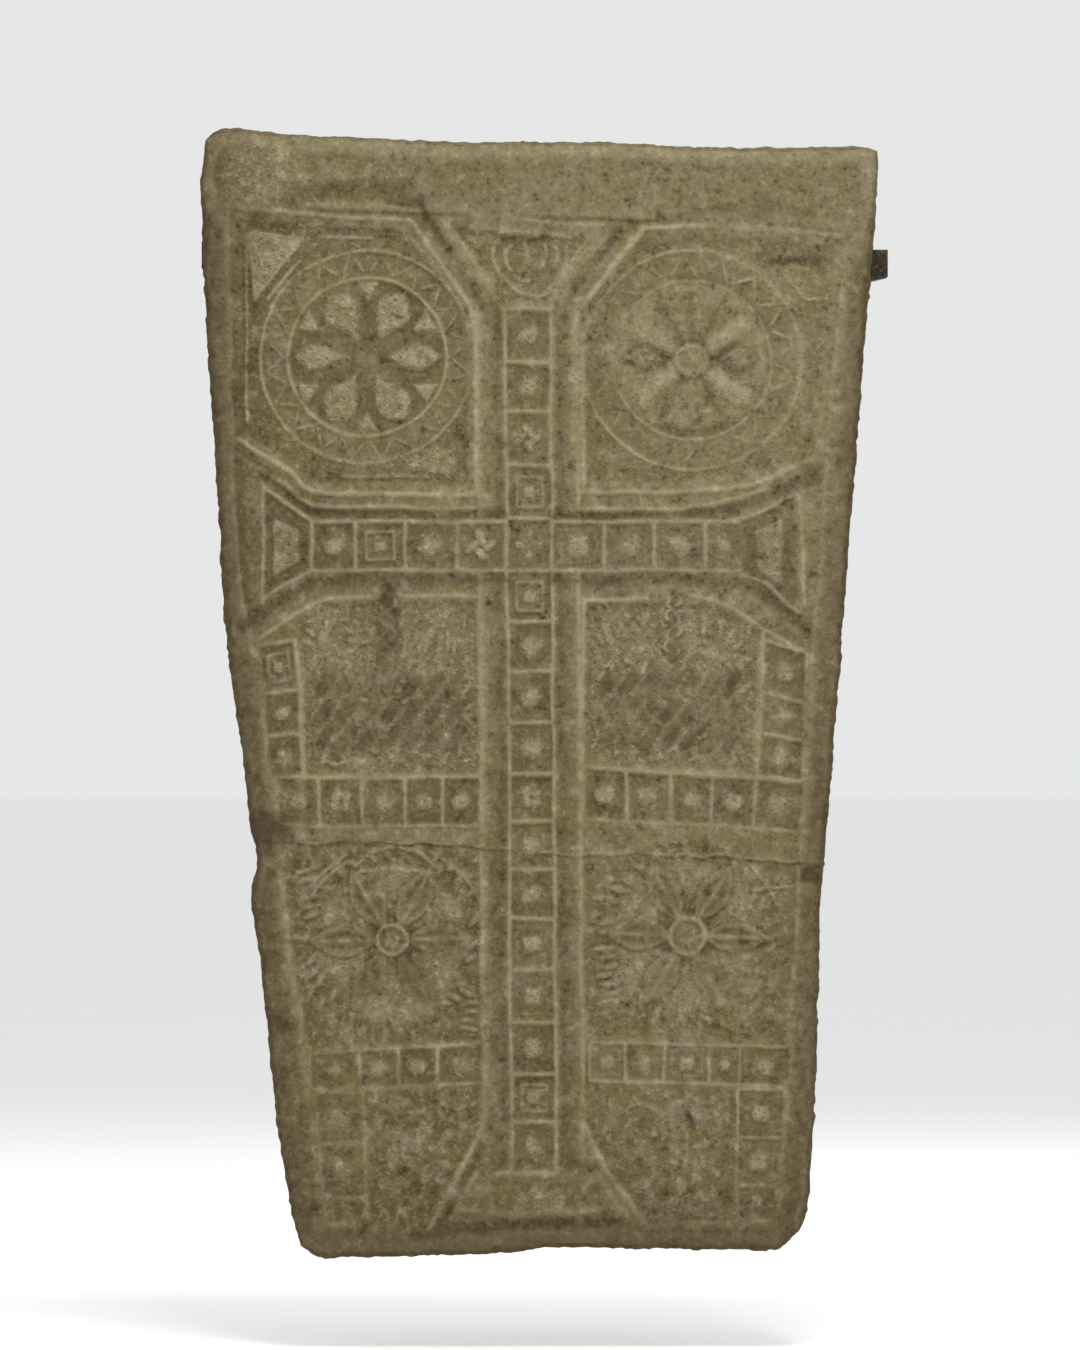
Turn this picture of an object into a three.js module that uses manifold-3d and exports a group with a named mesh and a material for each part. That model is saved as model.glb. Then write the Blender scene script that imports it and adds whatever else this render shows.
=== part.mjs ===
// A carved stone slab, narrower at the foot, held upright on a wall by two iron brackets.
// Millimetres, +Z up. The carved face looks along -Y and the back lies in the plane y = 0.
// The origin is the middle of the back. A level is a distance out from the back.

import * as THREE from "three";
import { mergeVertices } from "three/addons/utils/BufferGeometryUtils.js";
import Module from "manifold-3d";

const wasm = await Module();
wasm.setup();

// ---- the block ----

const faceLevel = 130;
const fieldDepth = 9;
const fieldLevel = faceLevel - fieldDepth;
const arris = 24;
const backTaper = 12;

// Stations down the two long sides, as [x, z].
const leftSide = [
  [-456, 690], [-447, 470], [-432, 250], [-425, 110], [-414, 17], [-399, -90], [-391, -170],
  [-380, -222], [-388, -270], [-381, -325], [-369, -422], [-355, -569], [-335, -692],
];
const rightSide = [
  [358, -688], [368, -536], [371, -409], [375, -276], [391, -89], [399, 17], [413, 204],
  [432, 444], [449, 650], [453, 704],
];

// Stations along the two ends, the foot from left to right and the top from right to left.
const topEdge = [
  [436, 731], [200, 729], [105, 736], [-80, 737], [-188, 740], [-360, 749], [-390, 755], [-432, 755],
];
const footEdge = [[-296, -756], [-161, -753], [-28, -747], [25, -741], [239, -745], [322, -744]];

// ---- the carved layout ----

// The sunk face inside the plain margin, clockwise from its top left corner.
const sunkFace = [[-416, 648], [-409, 250], [-392, 90], [-290, -706], [316, -700], [404, 607]];
const barTop = 512;
const barFoot = -639;
const barCentreTop = -18;
const barCentreFoot = -9;
const barHalf = 30;
const crossbarTop = 228;
const crossbarFoot = 163;
const mouldingWidth = 36;
const ridge = 6;
const grooveDepth = 5;
const cellDepth = 6;
const upperCells = 4;
const lowerCells = 12;
const flare = { top: 82, side: 66, foot: 66 };

const medallions = [
  { x: -232, z: 448, outer: 142, inner: 106, teeth: 20, arms: 6, hub: 12, armMouth: 25 },
  { x: 201, z: 443, outer: 146, inner: 106, teeth: 17, arms: 6, hub: 20, armMouth: 19 },
];
const strokeRows = {
  spans: [[-288, -114], [90, 254]], rows: [12, -24, -60], perRow: 7,
  reach: 13, halfWidth: 7, rise: 4, lean: 55,
};
const rosettes = [
  { x: -199, z: -329, wreath: 118, petal: 102, hub: 17 },
  { x: 195, z: -323, wreath: 118, petal: 100, hub: 22 },
];

// ---- plane shapes, drawn in x and z ----

const mix = (from, to, share) => from + (to - from) * share;
const between = (from, to, share) => [mix(from[0], to[0], share), mix(from[1], to[1], share)];
const vectors = (pairs) => pairs.map(([x, z]) => new THREE.Vector2(x, z));

// The x of the upright bar's centre line, which leans a little.
function barCentre(z) {
  return mix(barCentreTop, barCentreFoot, (barTop - z) / (barTop - barFoot));
}

function circle(x, z, radius, sides, turn = 0) {
  return Array.from({ length: sides }, (_, i) => {
    const angle = turn + (i / sides) * 2 * Math.PI;
    return [x + radius * Math.cos(angle), z + radius * Math.sin(angle)];
  });
}

// A shape drawn along +x from its root, turned by an angle and moved to a centre.
function placed(pairs, x, z, angle) {
  const c = Math.cos(angle);
  const s = Math.sin(angle);
  return pairs.map(([u, v]) => [x + u * c - v * s, z + u * s + v * c]);
}

// A leaf pointed at both ends, from one radius to another.
function leaf(from, to, halfWidth, steps = 4) {
  const side = (sign) => (i) => {
    const share = i / steps;
    return [mix(from, to, share), sign * halfWidth * Math.sin(Math.PI * share)];
  };
  const lower = Array.from({ length: steps }, (_, i) => side(-1)(i));
  const upper = Array.from({ length: steps }, (_, i) => side(1)(steps - i));
  return [...lower, ...upper];
}

// A band of constant half width along a path.
function ribbon(path, halfWidth) {
  const points = vectors(path);
  const sides = [[], []];
  points.forEach((point, i) => {
    const before = points[Math.max(i - 1, 0)];
    const after = points[Math.min(i + 1, points.length - 1)];
    const along = after.clone().sub(before).normalize();
    const across = new THREE.Vector2(-along.y, along.x).multiplyScalar(halfWidth);
    sides[0].push(point.clone().add(across));
    sides[1].unshift(point.clone().sub(across));
  });
  return [...sides[0], ...sides[1]].map((point) => [point.x, point.y]);
}

// The slab's outline, counter-clockwise as seen from the front, with its corners rounded off.
function slabOutline() {
  const outline = new THREE.Shape();
  const curve = (pairs) => outline.splineThru(vectors(pairs.slice(1)));
  outline.moveTo(...leftSide[0]);
  curve(leftSide);
  outline.quadraticCurveTo(-326, -752, ...footEdge[0]);
  curve(footEdge);
  outline.quadraticCurveTo(334, -728, 345, -718);
  outline.quadraticCurveTo(356, -708, ...rightSide[0]);
  curve(rightSide);
  outline.quadraticCurveTo(453, 729, ...topEdge[0]);
  curve(topEdge);
  outline.quadraticCurveTo(-452, 753, ...leftSide[0]);
  const points = outline.getPoints(2);
  return points.filter((point, i) => point.distanceTo(points.at(i - 1)) > 1);
}

// The cross with flared ends, grown by a margin on its long edges.
function crossOutline(grow) {
  const half = barHalf + grow;
  const top = crossbarTop + grow;
  const foot = crossbarFoot - grow;
  const upperX = barCentre(barTop);
  const middleX = barCentre((top + foot) / 2);
  const footNeck = -590;
  const footX = barCentre(footNeck);
  const topMouth = 632;
  const footMouth = -702;
  const neckLeft = -305 + grow * 0.2;
  const neckRight = 255 - grow * 0.3;
  const mouthLeft = -396;
  const mouthRight = 362;
  return [
    [upperX - half, barTop + grow * 0.2],
    [middleX - half, top],
    [neckLeft, top],
    [mouthLeft, top + flare.side],
    [mouthLeft, foot - flare.side],
    [neckLeft, foot],
    [middleX - half, foot],
    [footX - half, footNeck],
    [footX - half - flare.foot, footMouth],
    [footX + half + flare.foot, footMouth],
    [footX + half, footNeck],
    [middleX + half, foot],
    [neckRight, foot],
    [mouthRight, foot - flare.side],
    [mouthRight, top + flare.side],
    [neckRight, top],
    [middleX + half, top],
    [upperX + half, barTop + grow * 0.2],
    [upperX + half + flare.top, topMouth],
    [upperX - half - flare.top, topMouth],
  ];
}

// ---- solids ----

function solidFrom(geometry) {
  geometry.deleteAttribute("normal");
  geometry.deleteAttribute("uv");
  const merged = mergeVertices(geometry, 1e-3);
  return new wasm.Manifold(
    new wasm.Mesh({
      numProp: 3,
      vertProperties: merged.attributes.position.array,
      triVerts: new Uint32Array(merged.index.array),
    }),
  );
}

function meshFrom(solid, name, material) {
  const made = solid.getMesh();
  const geometry = new THREE.BufferGeometry();
  geometry.setAttribute("position", new THREE.BufferAttribute(made.vertProperties, 3));
  geometry.setIndex(new THREE.BufferAttribute(made.triVerts, 1));
  const mesh = new THREE.Mesh(geometry, material);
  mesh.name = name;
  return mesh;
}

// A prism with sloping ends: full size for the body's length, drawn in by the slope at each end.
function slopedPrism(pairs, level, body, end, slope) {
  const geometry = new THREE.ExtrudeGeometry(new THREE.Shape(vectors(pairs)), {
    depth: body,
    bevelEnabled: true,
    bevelSegments: 1,
    bevelThickness: end,
    bevelSize: slope,
    bevelOffset: -slope,
    curveSegments: 1,
  });
  geometry.rotateX(Math.PI / 2);
  geometry.translate(0, -level, 0);
  return solidFrom(geometry);
}

const buried = 3;
const ringSides = 32;

// Stone left standing on a floor, with sloping sides.
function raised(pairs, floor, rise, slope = rise * 0.6) {
  return slopedPrism(pairs, floor - buried, buried, rise, slope);
}

// A pocket cut from a surface down, with sloping sides.
function pocket(pairs, surface, depth, slope = depth * 0.6) {
  return slopedPrism(pairs, surface, fieldDepth, depth, slope);
}

// A ring of stone about an axis that looks along -Y.
function ring(x, z, radius, width, floor, rise) {
  const half = width / 2;
  const profile = [
    [radius - half, -buried], [radius + half, -buried], [radius + half, 0],
    [radius + half * 0.4, rise], [radius - half * 0.4, rise], [radius - half, 0], [radius - half, -buried],
  ];
  const geometry = new THREE.LatheGeometry(vectors(profile), ringSides);
  geometry.rotateX(Math.PI);
  geometry.translate(x, -floor, z);
  return solidFrom(geometry);
}

// The block: the outline drawn in at the back, full at two thirds, and rounded over at the front.
function block() {
  const outline = slabOutline();
  const count = outline.length;
  const inward = outline.map((point, i) => {
    const along = outline[(i + 1) % count].clone().sub(outline.at(i - 1)).normalize();
    return new THREE.Vector2(-along.y, along.x);
  });
  const frontSteps = 4;
  const layers = [[0, backTaper], [faceLevel * 0.7, 0]];
  for (let step = 1; step <= frontSteps; step += 1) {
    const angle = (step / frontSteps) * (Math.PI / 2);
    layers.push([mix(faceLevel * 0.8, faceLevel, Math.sin(angle)), arris * (1 - Math.cos(angle))]);
  }
  const positions = [];
  const indices = [];
  layers.forEach(([level, inset]) => {
    outline.forEach((point, i) => {
      const moved = point.clone().addScaledVector(inward[i], inset);
      positions.push(moved.x, -level, moved.y);
    });
  });
  for (let layer = 0; layer + 1 < layers.length; layer += 1) {
    for (let i = 0; i < count; i += 1) {
      const next = (i + 1) % count;
      const [a, b] = [layer * count + i, layer * count + next];
      indices.push(a, b, b + count, a, b + count, a + count);
    }
  }
  const last = (layers.length - 1) * count;
  THREE.ShapeUtils.triangulateShape(outline, []).forEach(([a, b, c]) => {
    indices.push(a, c, b, last + a, last + b, last + c);
  });
  const geometry = new THREE.BufferGeometry();
  geometry.setAttribute("position", new THREE.Float32BufferAttribute(positions, 3));
  geometry.setIndex(indices);
  return solidFrom(geometry);
}

// ---- carved parts ----

const bossShapes = {
  square: (x, z, size) => circle(x, z, size, 4, Math.PI / 4),
  diamond: (x, z, size) => circle(x, z, size, 4),
  round: (x, z, size) => circle(x, z, size * 0.85, 8),
  star: (x, z, size) =>
    circle(x, z, 1, 8).map(([u, v], i) => {
      const reach = i % 2 ? size * 0.5 : size * 1.1;
      return [x + (u - x) * reach, z + (v - z) * reach];
    }),
};

// One set jewel: a sunk cell with a boss of the named shape standing in it.
function jewelCell(corners, kind, surface) {
  const x = corners.reduce((sum, corner) => sum + corner[0], 0) / corners.length;
  const z = corners.reduce((sum, corner) => sum + corner[1], 0) / corners.length;
  const width = Math.hypot(corners[1][0] - corners[0][0], corners[1][1] - corners[0][1]);
  const height = Math.hypot(corners[2][0] - corners[1][0], corners[2][1] - corners[1][1]);
  const size = Math.min(width, height) * 0.36;
  return {
    cut: pocket(corners, surface, cellDepth, 3),
    boss: raised(bossShapes[kind](x, z, size), surface - cellDepth, cellDepth - 1.5, size * 0.4),
  };
}

// A run of cells from one end to the other, between two rails.
function cellRun(railA, railB, shares, kinds, surface) {
  return kinds.map((kind, i) => {
    const trim = ridge / 2 / Math.hypot(railA[1][0] - railA[0][0], railA[1][1] - railA[0][1]);
    const from = shares[i] + trim;
    const to = shares[i + 1] - trim;
    const corners = [
      between(...railA, from), between(...railA, to), between(...railB, to), between(...railB, from),
    ];
    return jewelCell(corners, kind, surface);
  });
}

const evenShares = (count) => Array.from({ length: count + 1 }, (_, i) => i / count);

function applyCells(stone, cells) {
  return cells.reduce((made, cell) => made.subtract(cell.cut).add(cell.boss), stone);
}

// The cross: a flush band with a groove between its outer ridge and the cells down its middle.
function carveCross(stone) {
  const groove = pocket(crossOutline(mouldingWidth - ridge), faceLevel, grooveDepth, 3)
    .subtract(raised(crossOutline(ridge), fieldLevel, fieldDepth + 1, 1));
  return stone.add(raised(crossOutline(mouldingWidth), fieldLevel, fieldDepth, 4)).subtract(groove);
}

function carveBars(stone) {
  const inner = barHalf - ridge / 2;
  const uprightKinds = [
    "round", "star", "star", "square", "star", "square", "diamond", "star", "star",
    "round", "diamond", "round", "square", "square", "square", "square", "square",
  ];
  const rail = (side, from, to) => [from, to].map((z) => [barCentre(z) + side * inner, z]);
  const spans = [
    [barTop, crossbarTop, upperCells], [crossbarTop, crossbarFoot, 1], [crossbarFoot, barFoot, lowerCells],
  ];
  let taken = 0;
  let made = stone;
  spans.forEach(([from, to, count]) => {
    const kinds = uprightKinds.slice(taken, taken + count);
    const rails = [rail(-1, from, to), rail(1, from, to)];
    made = applyCells(made, cellRun(...rails, evenShares(count), kinds, faceLevel));
    taken += count;
  });
  const arms = [
    { from: -305, to: barCentreTop - barHalf, kinds: ["diamond", "square", "diamond", "star"] },
    { from: barCentreTop + barHalf, to: 268, kinds: ["square", "diamond", "round", "round"] },
  ];
  arms.forEach(({ from, to, kinds }) => {
    const rails = [crossbarTop - ridge / 2, crossbarFoot + ridge / 2].map((z) => [[from, z], [to, z]]);
    made = applyCells(made, cellRun(...rails, evenShares(kinds.length), kinds, faceLevel));
  });
  return made;
}

// The pecked panels inside the flared ends of the cross.
function carveFlares(stone) {
  const panels = [
    [[-66, 606], [32, 606], [0, 545], [-34, 545]],
    [[-372, 262], [-318, 222], [-318, 169], [-372, 129]],
    [[345, 262], [288, 222], [288, 169], [345, 129]],
    [[-84, -692], [64, -692], [28, -652], [-48, -652]],
  ];
  return panels.reduce((made, panel) => made.subtract(pocket(panel, faceLevel, grooveDepth, 3)), stone);
}

// The jewelled strips that edge the lower panels.
function carveStrips(stone) {
  const strips = [
    {
      rails: [[[-378, 62], [-360, -112]], [[-328, 84], [-316, -112]]],
      kinds: ["square", "round", "diamond"],
    },
    {
      rails: [[[-356, -112], [-84, -112]], [[-350, -177], [-84, -177]]],
      kinds: ["round", "round", "diamond", "round", "round"],
    },
    {
      rails: [[[298, 82], [286, -112]], [[354, 62], [348, -116]]],
      kinds: ["round", "diamond", "diamond"],
    },
    {
      rails: [[[58, -100], [350, -116]], [[58, -168], [344, -183]]],
      kinds: ["round", "round", "diamond", "round", "diamond"],
    },
    {
      rails: [[[-310, -480], [-80, -467]], [[-304, -529], [-80, -520]]],
      kinds: ["diamond", "diamond", "square", "round", "square"],
    },
    {
      rails: [[[66, -466], [330, -474]], [[66, -517], [326, -526]]],
      kinds: ["square", "diamond", "square", "round", "diamond"],
    },
    {
      rails: [[[-302, -532], [-284, -704]], [[-236, -532], [-232, -704]]],
      kinds: ["round", "round", "diamond"],
    },
    {
      rails: [[[262, -528], [262, -700]], [[324, -528], [312, -700]]],
      kinds: ["round", "square", "round"],
    },
  ];
  return strips.reduce((made, { rails, kinds }) => {
    const [a, b] = rails;
    const band = raised([a[0], a[1], b[1], b[0]], fieldLevel, fieldDepth - 1, 3);
    const middle = evenShares(1).map((end) => between(a[end], b[end], 0.5));
    const drawnIn = (rail) => rail.map((point, i) => {
      const depth = Math.hypot(point[0] - middle[i][0], point[1] - middle[i][1]);
      return between(point, middle[i], ridge / depth);
    });
    const cells = cellRun(drawnIn(a), drawnIn(b), evenShares(kinds.length), kinds, faceLevel - 1);
    return applyCells(made.add(band), cells);
  }, stone);
}

// A round panel: two ridges with a zigzag between them, and a wheel of flared arms.
function carveMedallion(stone, { x, z, outer, inner, teeth, arms, hub, armMouth }) {
  const toothRise = 4;
  const armRise = 6;
  let made = stone;
  made = made.add(ring(x, z, outer, ridge, fieldLevel, armRise));
  made = made.add(ring(x, z, inner, ridge, fieldLevel, armRise));
  for (let i = 0; i < teeth; i += 1) {
    const half = Math.PI / teeth;
    const turn = 2 * half * i;
    const low = inner + ridge;
    const high = outer - ridge;
    const tooth = [[low * Math.cos(half * 0.8), -low * Math.sin(half * 0.8)], [high, 0],
      [low * Math.cos(half * 0.8), low * Math.sin(half * 0.8)]];
    made = made.add(raised(placed(tooth, x, z, turn), fieldLevel, toothRise, 2));
  }
  for (let i = 0; i < arms; i += 1) {
    const turn = Math.PI / 2 + (i / arms) * 2 * Math.PI;
    const flared = [[0, 4], [inner * 0.5, 7], [inner - 2, armMouth]];
    const arm = [...flared.map(([u, v]) => [u, -v]), ...flared.reverse()];
    made = made.add(raised(placed(arm, x, z, turn), fieldLevel, armRise, 2));
    const notch = [[inner * 0.72, 0], [inner * 0.93, -armMouth * 0.45], [inner * 0.93, armMouth * 0.45]];
    made = made.subtract(pocket(placed(notch, x, z, turn), fieldLevel + armRise, 3, 1.5));
  }
  return made.add(raised(circle(x, z, hub, 16), fieldLevel, armRise + 1, 2));
}

// A six-petalled rose in a leaf wreath.
function carveRosette(stone, { x, z, wreath, petal, hub }) {
  const leaves = 24;
  const petals = 6;
  const petalRise = 6;
  let made = stone;
  for (let i = 0; i < leaves; i += 1) {
    const turn = (i / leaves) * 2 * Math.PI;
    const slant = 0.6;
    const [cx, cz] = [x + wreath * Math.cos(turn), z + wreath * Math.sin(turn)];
    made = made.add(raised(placed(leaf(-14, 14, 6, 2), cx, cz, turn + slant), fieldLevel, 4, 2));
  }
  for (let i = 0; i < petals; i += 1) {
    const turn = (i / petals) * 2 * Math.PI;
    made = made.add(raised(placed(leaf(hub * 0.9, petal, 15), x, z, turn), fieldLevel, petalRise, 3));
    const rib = placed(leaf(hub * 1.5, petal * 0.85, 4, 2), x, z, turn);
    made = made.subtract(pocket(rib, fieldLevel + petalRise, 2, 1));
  }
  made = made.add(raised(circle(x, z, hub, 16), fieldLevel, 8, 2));
  return made.subtract(pocket(circle(x, z, hub * 0.7, 12), fieldLevel + 8, 3, 1))
    .add(raised(circle(x, z, hub * 0.35, 8), fieldLevel + 5, 2, 1));
}

// Rows of short leaning strokes in the panels below the crossbar, under a chain of short links.
function carveStrokeRows(stone) {
  const { spans, rows, perRow, reach, halfWidth, rise, lean } = strokeRows;
  const angle = THREE.MathUtils.degToRad(lean);
  const [dx, dz] = [reach * Math.cos(angle), reach * Math.sin(angle)];
  let made = stone;
  spans.forEach(([from, to]) => {
    rows.forEach((z) => {
      for (let i = 0; i < perRow; i += 1) {
        const x = mix(from, to, i / (perRow - 1));
        const path = [[x - dx, z - dz], [x + dx, z + dz]];
        made = made.add(raised(ribbon(path, halfWidth), fieldLevel, rise, 2));
      }
    });
  });
  const links = 4;
  const linkRise = 6;
  const chains = [{ x: -200, top: 122, foot: 36 }, { x: 178, top: 122, foot: 44 }];
  chains.forEach(({ x, top, foot }) => {
    for (let i = 0; i < links; i += 1) {
      const z = mix(top, foot, (i + 0.5) / links);
      const twist = i % 2 ? 0.9 : -0.9;
      made = made.add(raised(placed(leaf(-15, 15, 7, 4), x, z, twist), fieldLevel, linkRise, 2));
    }
  });
  return made;
}

// Long grooves beside the frame, the break across the middle and the flake lost at its right end.
function carveLosses(stone) {
  const crack = [
    [-392, -190], [-311, -199], [-255, -196], [-128, -200], [-39, -208], [48, -216], [124, -213],
    [244, -217], [345, -225], [380, -231],
  ];
  const grooves = [
    [[-335, 670], [-168, 671], [-150, 638]],
    [[198, 642], [365, 640]],
    [[185, 624], [300, 622], [385, 614]],
  ];
  const flake = [[343, -231], [372, -232], [372, -254], [343, -252]];
  const cut = grooves.reduce((made, path) => made.subtract(pocket(ribbon(path, 7), faceLevel, 4, 3)), stone);
  return cut.subtract(pocket(ribbon(crack, 2), faceLevel, 13, 1.2)).subtract(pocket(flake, faceLevel, 8, 3));
}

function stoneSlab(stoneBlock) {
  let stone = stoneBlock.subtract(pocket(sunkFace, faceLevel, fieldDepth, 5));
  stone = carveCross(stone);
  stone = carveBars(stone);
  stone = carveFlares(stone);
  stone = carveStrips(stone);
  stone = medallions.reduce(carveMedallion, stone);
  stone = rosettes.reduce(carveRosette, stone);
  stone = carveStrokeRows(stone);
  return carveLosses(stone);
}

// ---- the iron brackets ----

const bracketHeight = 36;
const bracketReach = 70;
const bracketBar = 60;
const bracketDrop = 14;
const bracketChamfer = 2;
const bracketGap = 0.5;
const brackets = [
  { name: "iron_bracket_right", side: 1, tip: 464, top: 593 },
  { name: "iron_bracket_left", side: -1, tip: -454, top: 604 },
];

// A lug that stands out of the wall, its lower edge falling towards the slab, cut to the slab's side.
function ironBracket({ side, tip, top }, stone) {
  const inner = tip - side * bracketBar;
  const foot = top - bracketHeight;
  const face = [[inner, top], [tip, top], [tip, foot], [inner, foot - bracketDrop]];
  const geometry = new THREE.ExtrudeGeometry(new THREE.Shape(vectors(face)), {
    depth: bracketReach - bracketChamfer,
    bevelEnabled: true,
    bevelSegments: 1,
    bevelThickness: bracketChamfer,
    bevelSize: bracketChamfer,
    bevelOffset: -bracketChamfer,
  });
  geometry.rotateX(Math.PI / 2);
  const wallSide = new THREE.BoxGeometry(bracketBar * 4, bracketReach, bracketHeight * 4);
  wallSide.translate(tip, bracketReach / 2, top);
  const gap = stone.translate([side * bracketGap, 0, 0]);
  return solidFrom(geometry).subtract(solidFrom(wallSide)).subtract(gap);
}

const stoneFinish = new THREE.MeshStandardMaterial({ color: "#7a6d52", roughness: 0.9, metalness: 0 });
const ironFinish = new THREE.MeshStandardMaterial({ color: "#453725", roughness: 0.7, metalness: 0.6 });

const uncutBlock = block();
const object = new THREE.Group();
object.add(meshFrom(stoneSlab(uncutBlock), "stone_slab", stoneFinish));
brackets.forEach((bracket) => {
  object.add(meshFrom(ironBracket(bracket, uncutBlock), bracket.name, ironFinish));
});

export default object;
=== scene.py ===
"""A carved stone slab held on a wall by two iron brackets: its fine relief, its finishes and the studio."""

from __future__ import annotations

import logging
import math
from dataclasses import dataclass, field
from enum import Enum
from itertools import pairwise
from typing import Iterable, Sequence

import bmesh
import bpy
import numpy as np
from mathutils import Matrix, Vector


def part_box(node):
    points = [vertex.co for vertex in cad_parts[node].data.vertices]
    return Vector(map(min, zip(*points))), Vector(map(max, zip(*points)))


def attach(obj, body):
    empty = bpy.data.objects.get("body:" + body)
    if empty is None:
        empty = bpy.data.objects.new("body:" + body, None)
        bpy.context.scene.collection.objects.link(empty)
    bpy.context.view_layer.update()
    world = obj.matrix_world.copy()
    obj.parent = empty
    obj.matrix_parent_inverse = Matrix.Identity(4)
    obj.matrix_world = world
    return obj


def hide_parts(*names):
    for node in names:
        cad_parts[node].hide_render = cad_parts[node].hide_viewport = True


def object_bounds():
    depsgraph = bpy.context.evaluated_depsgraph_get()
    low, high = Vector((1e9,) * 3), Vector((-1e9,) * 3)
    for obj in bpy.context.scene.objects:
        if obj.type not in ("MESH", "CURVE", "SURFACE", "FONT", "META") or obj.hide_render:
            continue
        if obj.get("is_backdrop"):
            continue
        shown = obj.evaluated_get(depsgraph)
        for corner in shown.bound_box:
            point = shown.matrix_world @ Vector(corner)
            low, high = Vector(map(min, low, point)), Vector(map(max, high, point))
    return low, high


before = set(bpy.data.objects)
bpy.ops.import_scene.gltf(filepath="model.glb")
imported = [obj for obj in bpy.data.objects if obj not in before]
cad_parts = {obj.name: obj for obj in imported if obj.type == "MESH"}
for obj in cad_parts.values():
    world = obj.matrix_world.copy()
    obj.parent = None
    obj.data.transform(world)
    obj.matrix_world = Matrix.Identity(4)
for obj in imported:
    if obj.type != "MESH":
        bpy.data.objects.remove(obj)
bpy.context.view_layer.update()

log = logging.getLogger("stone_relief")

Pair = tuple[float, float]
Path = Sequence[Pair]

MM = 0.001
SLAB_NODE = "stone_slab"
BRACKET_NODES = ("iron_bracket_right", "iron_bracket_left")

# Levels of the carving in millimetres, measured from the face; what is cut down is negative.
CREST = -0.2
FLUSH = -1.2
CELL = -6.5
FIELD = -8.0


# ---- plane geometry, in millimetres ----


def mix(start: float, end: float, share: float) -> float:
    """A value part of the way from one number to another."""
    return start + (end - start) * share


def between(start: Pair, end: Pair, share: float) -> Pair:
    """A point part of the way from one point to another."""
    return mix(start[0], end[0], share), mix(start[1], end[1], share)


def step_smoothly(values: np.ndarray) -> np.ndarray:
    """Values from 0 to 1 eased at both ends."""
    held = np.clip(values, 0.0, 1.0)
    return held * held * (3.0 - 2.0 * held)


def around(centre: Pair, radius: float, angle: float) -> Pair:
    """The point at a radius and an angle in radians from a centre."""
    return centre[0] + radius * math.cos(angle), centre[1] + radius * math.sin(angle)


def arc(centre: Pair, radius: float, start: float, end: float, steps: int = 24) -> list[Pair]:
    """Points round an arc.

    Args:
        centre: The arc's centre.
        radius: Its radius.
        start: The first angle in degrees, counter-clockwise from +x.
        end: The last angle in degrees.
        steps: How many chords stand for it.

    Returns:
        The points from the first angle to the last.
    """
    return [around(centre, radius, a) for a in np.radians(np.linspace(start, end, steps + 1))]


def rounded(path: Path, steps: int = 6) -> list[Pair]:
    """A smooth curve through the points of a path."""
    points = np.array(path, float)
    padded = np.vstack([2 * points[0] - points[1], points, 2 * points[-1] - points[-2]])
    shares = np.linspace(0, 1, steps, endpoint=False)[:, None]
    pieces = []
    for a, b, c, d in zip(padded, padded[1:], padded[2:], padded[3:]):
        bend = 2 * a - 5 * b + 4 * c - d
        swing = -a + 3 * b - 3 * c + d
        pieces.append(0.5 * (2 * b + (c - a) * shares + bend * shares**2 + swing * shares**3))
    pieces.append(points[-1:])
    return [tuple(point) for point in np.vstack(pieces)]


def placed(shape: Path, centre: Pair, angle: float) -> list[Pair]:
    """A shape drawn along +x, turned by an angle in degrees and moved to a centre."""
    c, s = math.cos(math.radians(angle)), math.sin(math.radians(angle))
    return [(centre[0] + u * c - v * s, centre[1] + u * s + v * c) for u, v in shape]


def lens(start: float, end: float, half_width: float, fullest: float = 1.0, steps: int = 12) -> list[Pair]:
    """A leaf pointed at both ends.

    Args:
        start: Where it begins along x.
        end: Where it ends along x.
        half_width: Half its greatest width.
        fullest: Above 1 it is widest past its middle, like a drop.
        steps: How many chords each side has.

    Returns:
        Its outline.
    """
    shares = np.linspace(0, 1, steps + 1)
    widths = half_width * np.sin(np.pi * shares**fullest)
    along = mix(start, end, shares)
    return [*zip(along, -widths), *zip(along[-2:0:-1], widths[-2:0:-1])]


def distance_to(x: np.ndarray, z: np.ndarray, path: Path) -> np.ndarray:
    """The distance from each point to an open path."""
    nearest = np.full(x.shape, 1e6)
    for (ax, az), (bx, bz) in pairwise(path):
        ux, uz = bx - ax, bz - az
        length = max(ux * ux + uz * uz, 1e-9)
        share = np.clip(((x - ax) * ux + (z - az) * uz) / length, 0.0, 1.0)
        nearest = np.minimum(nearest, np.hypot(x - ax - share * ux, z - az - share * uz))
    return nearest


def depth_inside(x: np.ndarray, z: np.ndarray, outline: Path) -> np.ndarray:
    """How far each point is inside a closed outline, negative outside it."""
    closed = [*outline, outline[0]]
    inside = np.zeros(x.shape, bool)
    for (ax, az), (bx, bz) in pairwise(closed):
        if az != bz:
            crossing = (az > z) != (bz > z)
            inside ^= crossing & (x < (bx - ax) * (z - az) / (bz - az) + ax)
    away = distance_to(x, z, closed)
    return np.where(inside, away, -away)


def value_noise(x: np.ndarray, z: np.ndarray, pitch: float, seed: int) -> np.ndarray:
    """Smooth random values from -1 to 1 on a square lattice of the given pitch."""
    u, v = (x + 900.0) / pitch, (z + 1200.0) / pitch
    i, j = np.floor(u).astype(int), np.floor(v).astype(int)
    lattice = np.random.default_rng(seed).uniform(-1, 1, (j.max() + 2, i.max() + 2))
    su, sv = step_smoothly(u - i), step_smoothly(v - j)
    low = mix(lattice[j, i], lattice[j, i + 1], su)
    high = mix(lattice[j + 1, i], lattice[j + 1, i + 1], su)
    return mix(low, high, sv)


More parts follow.
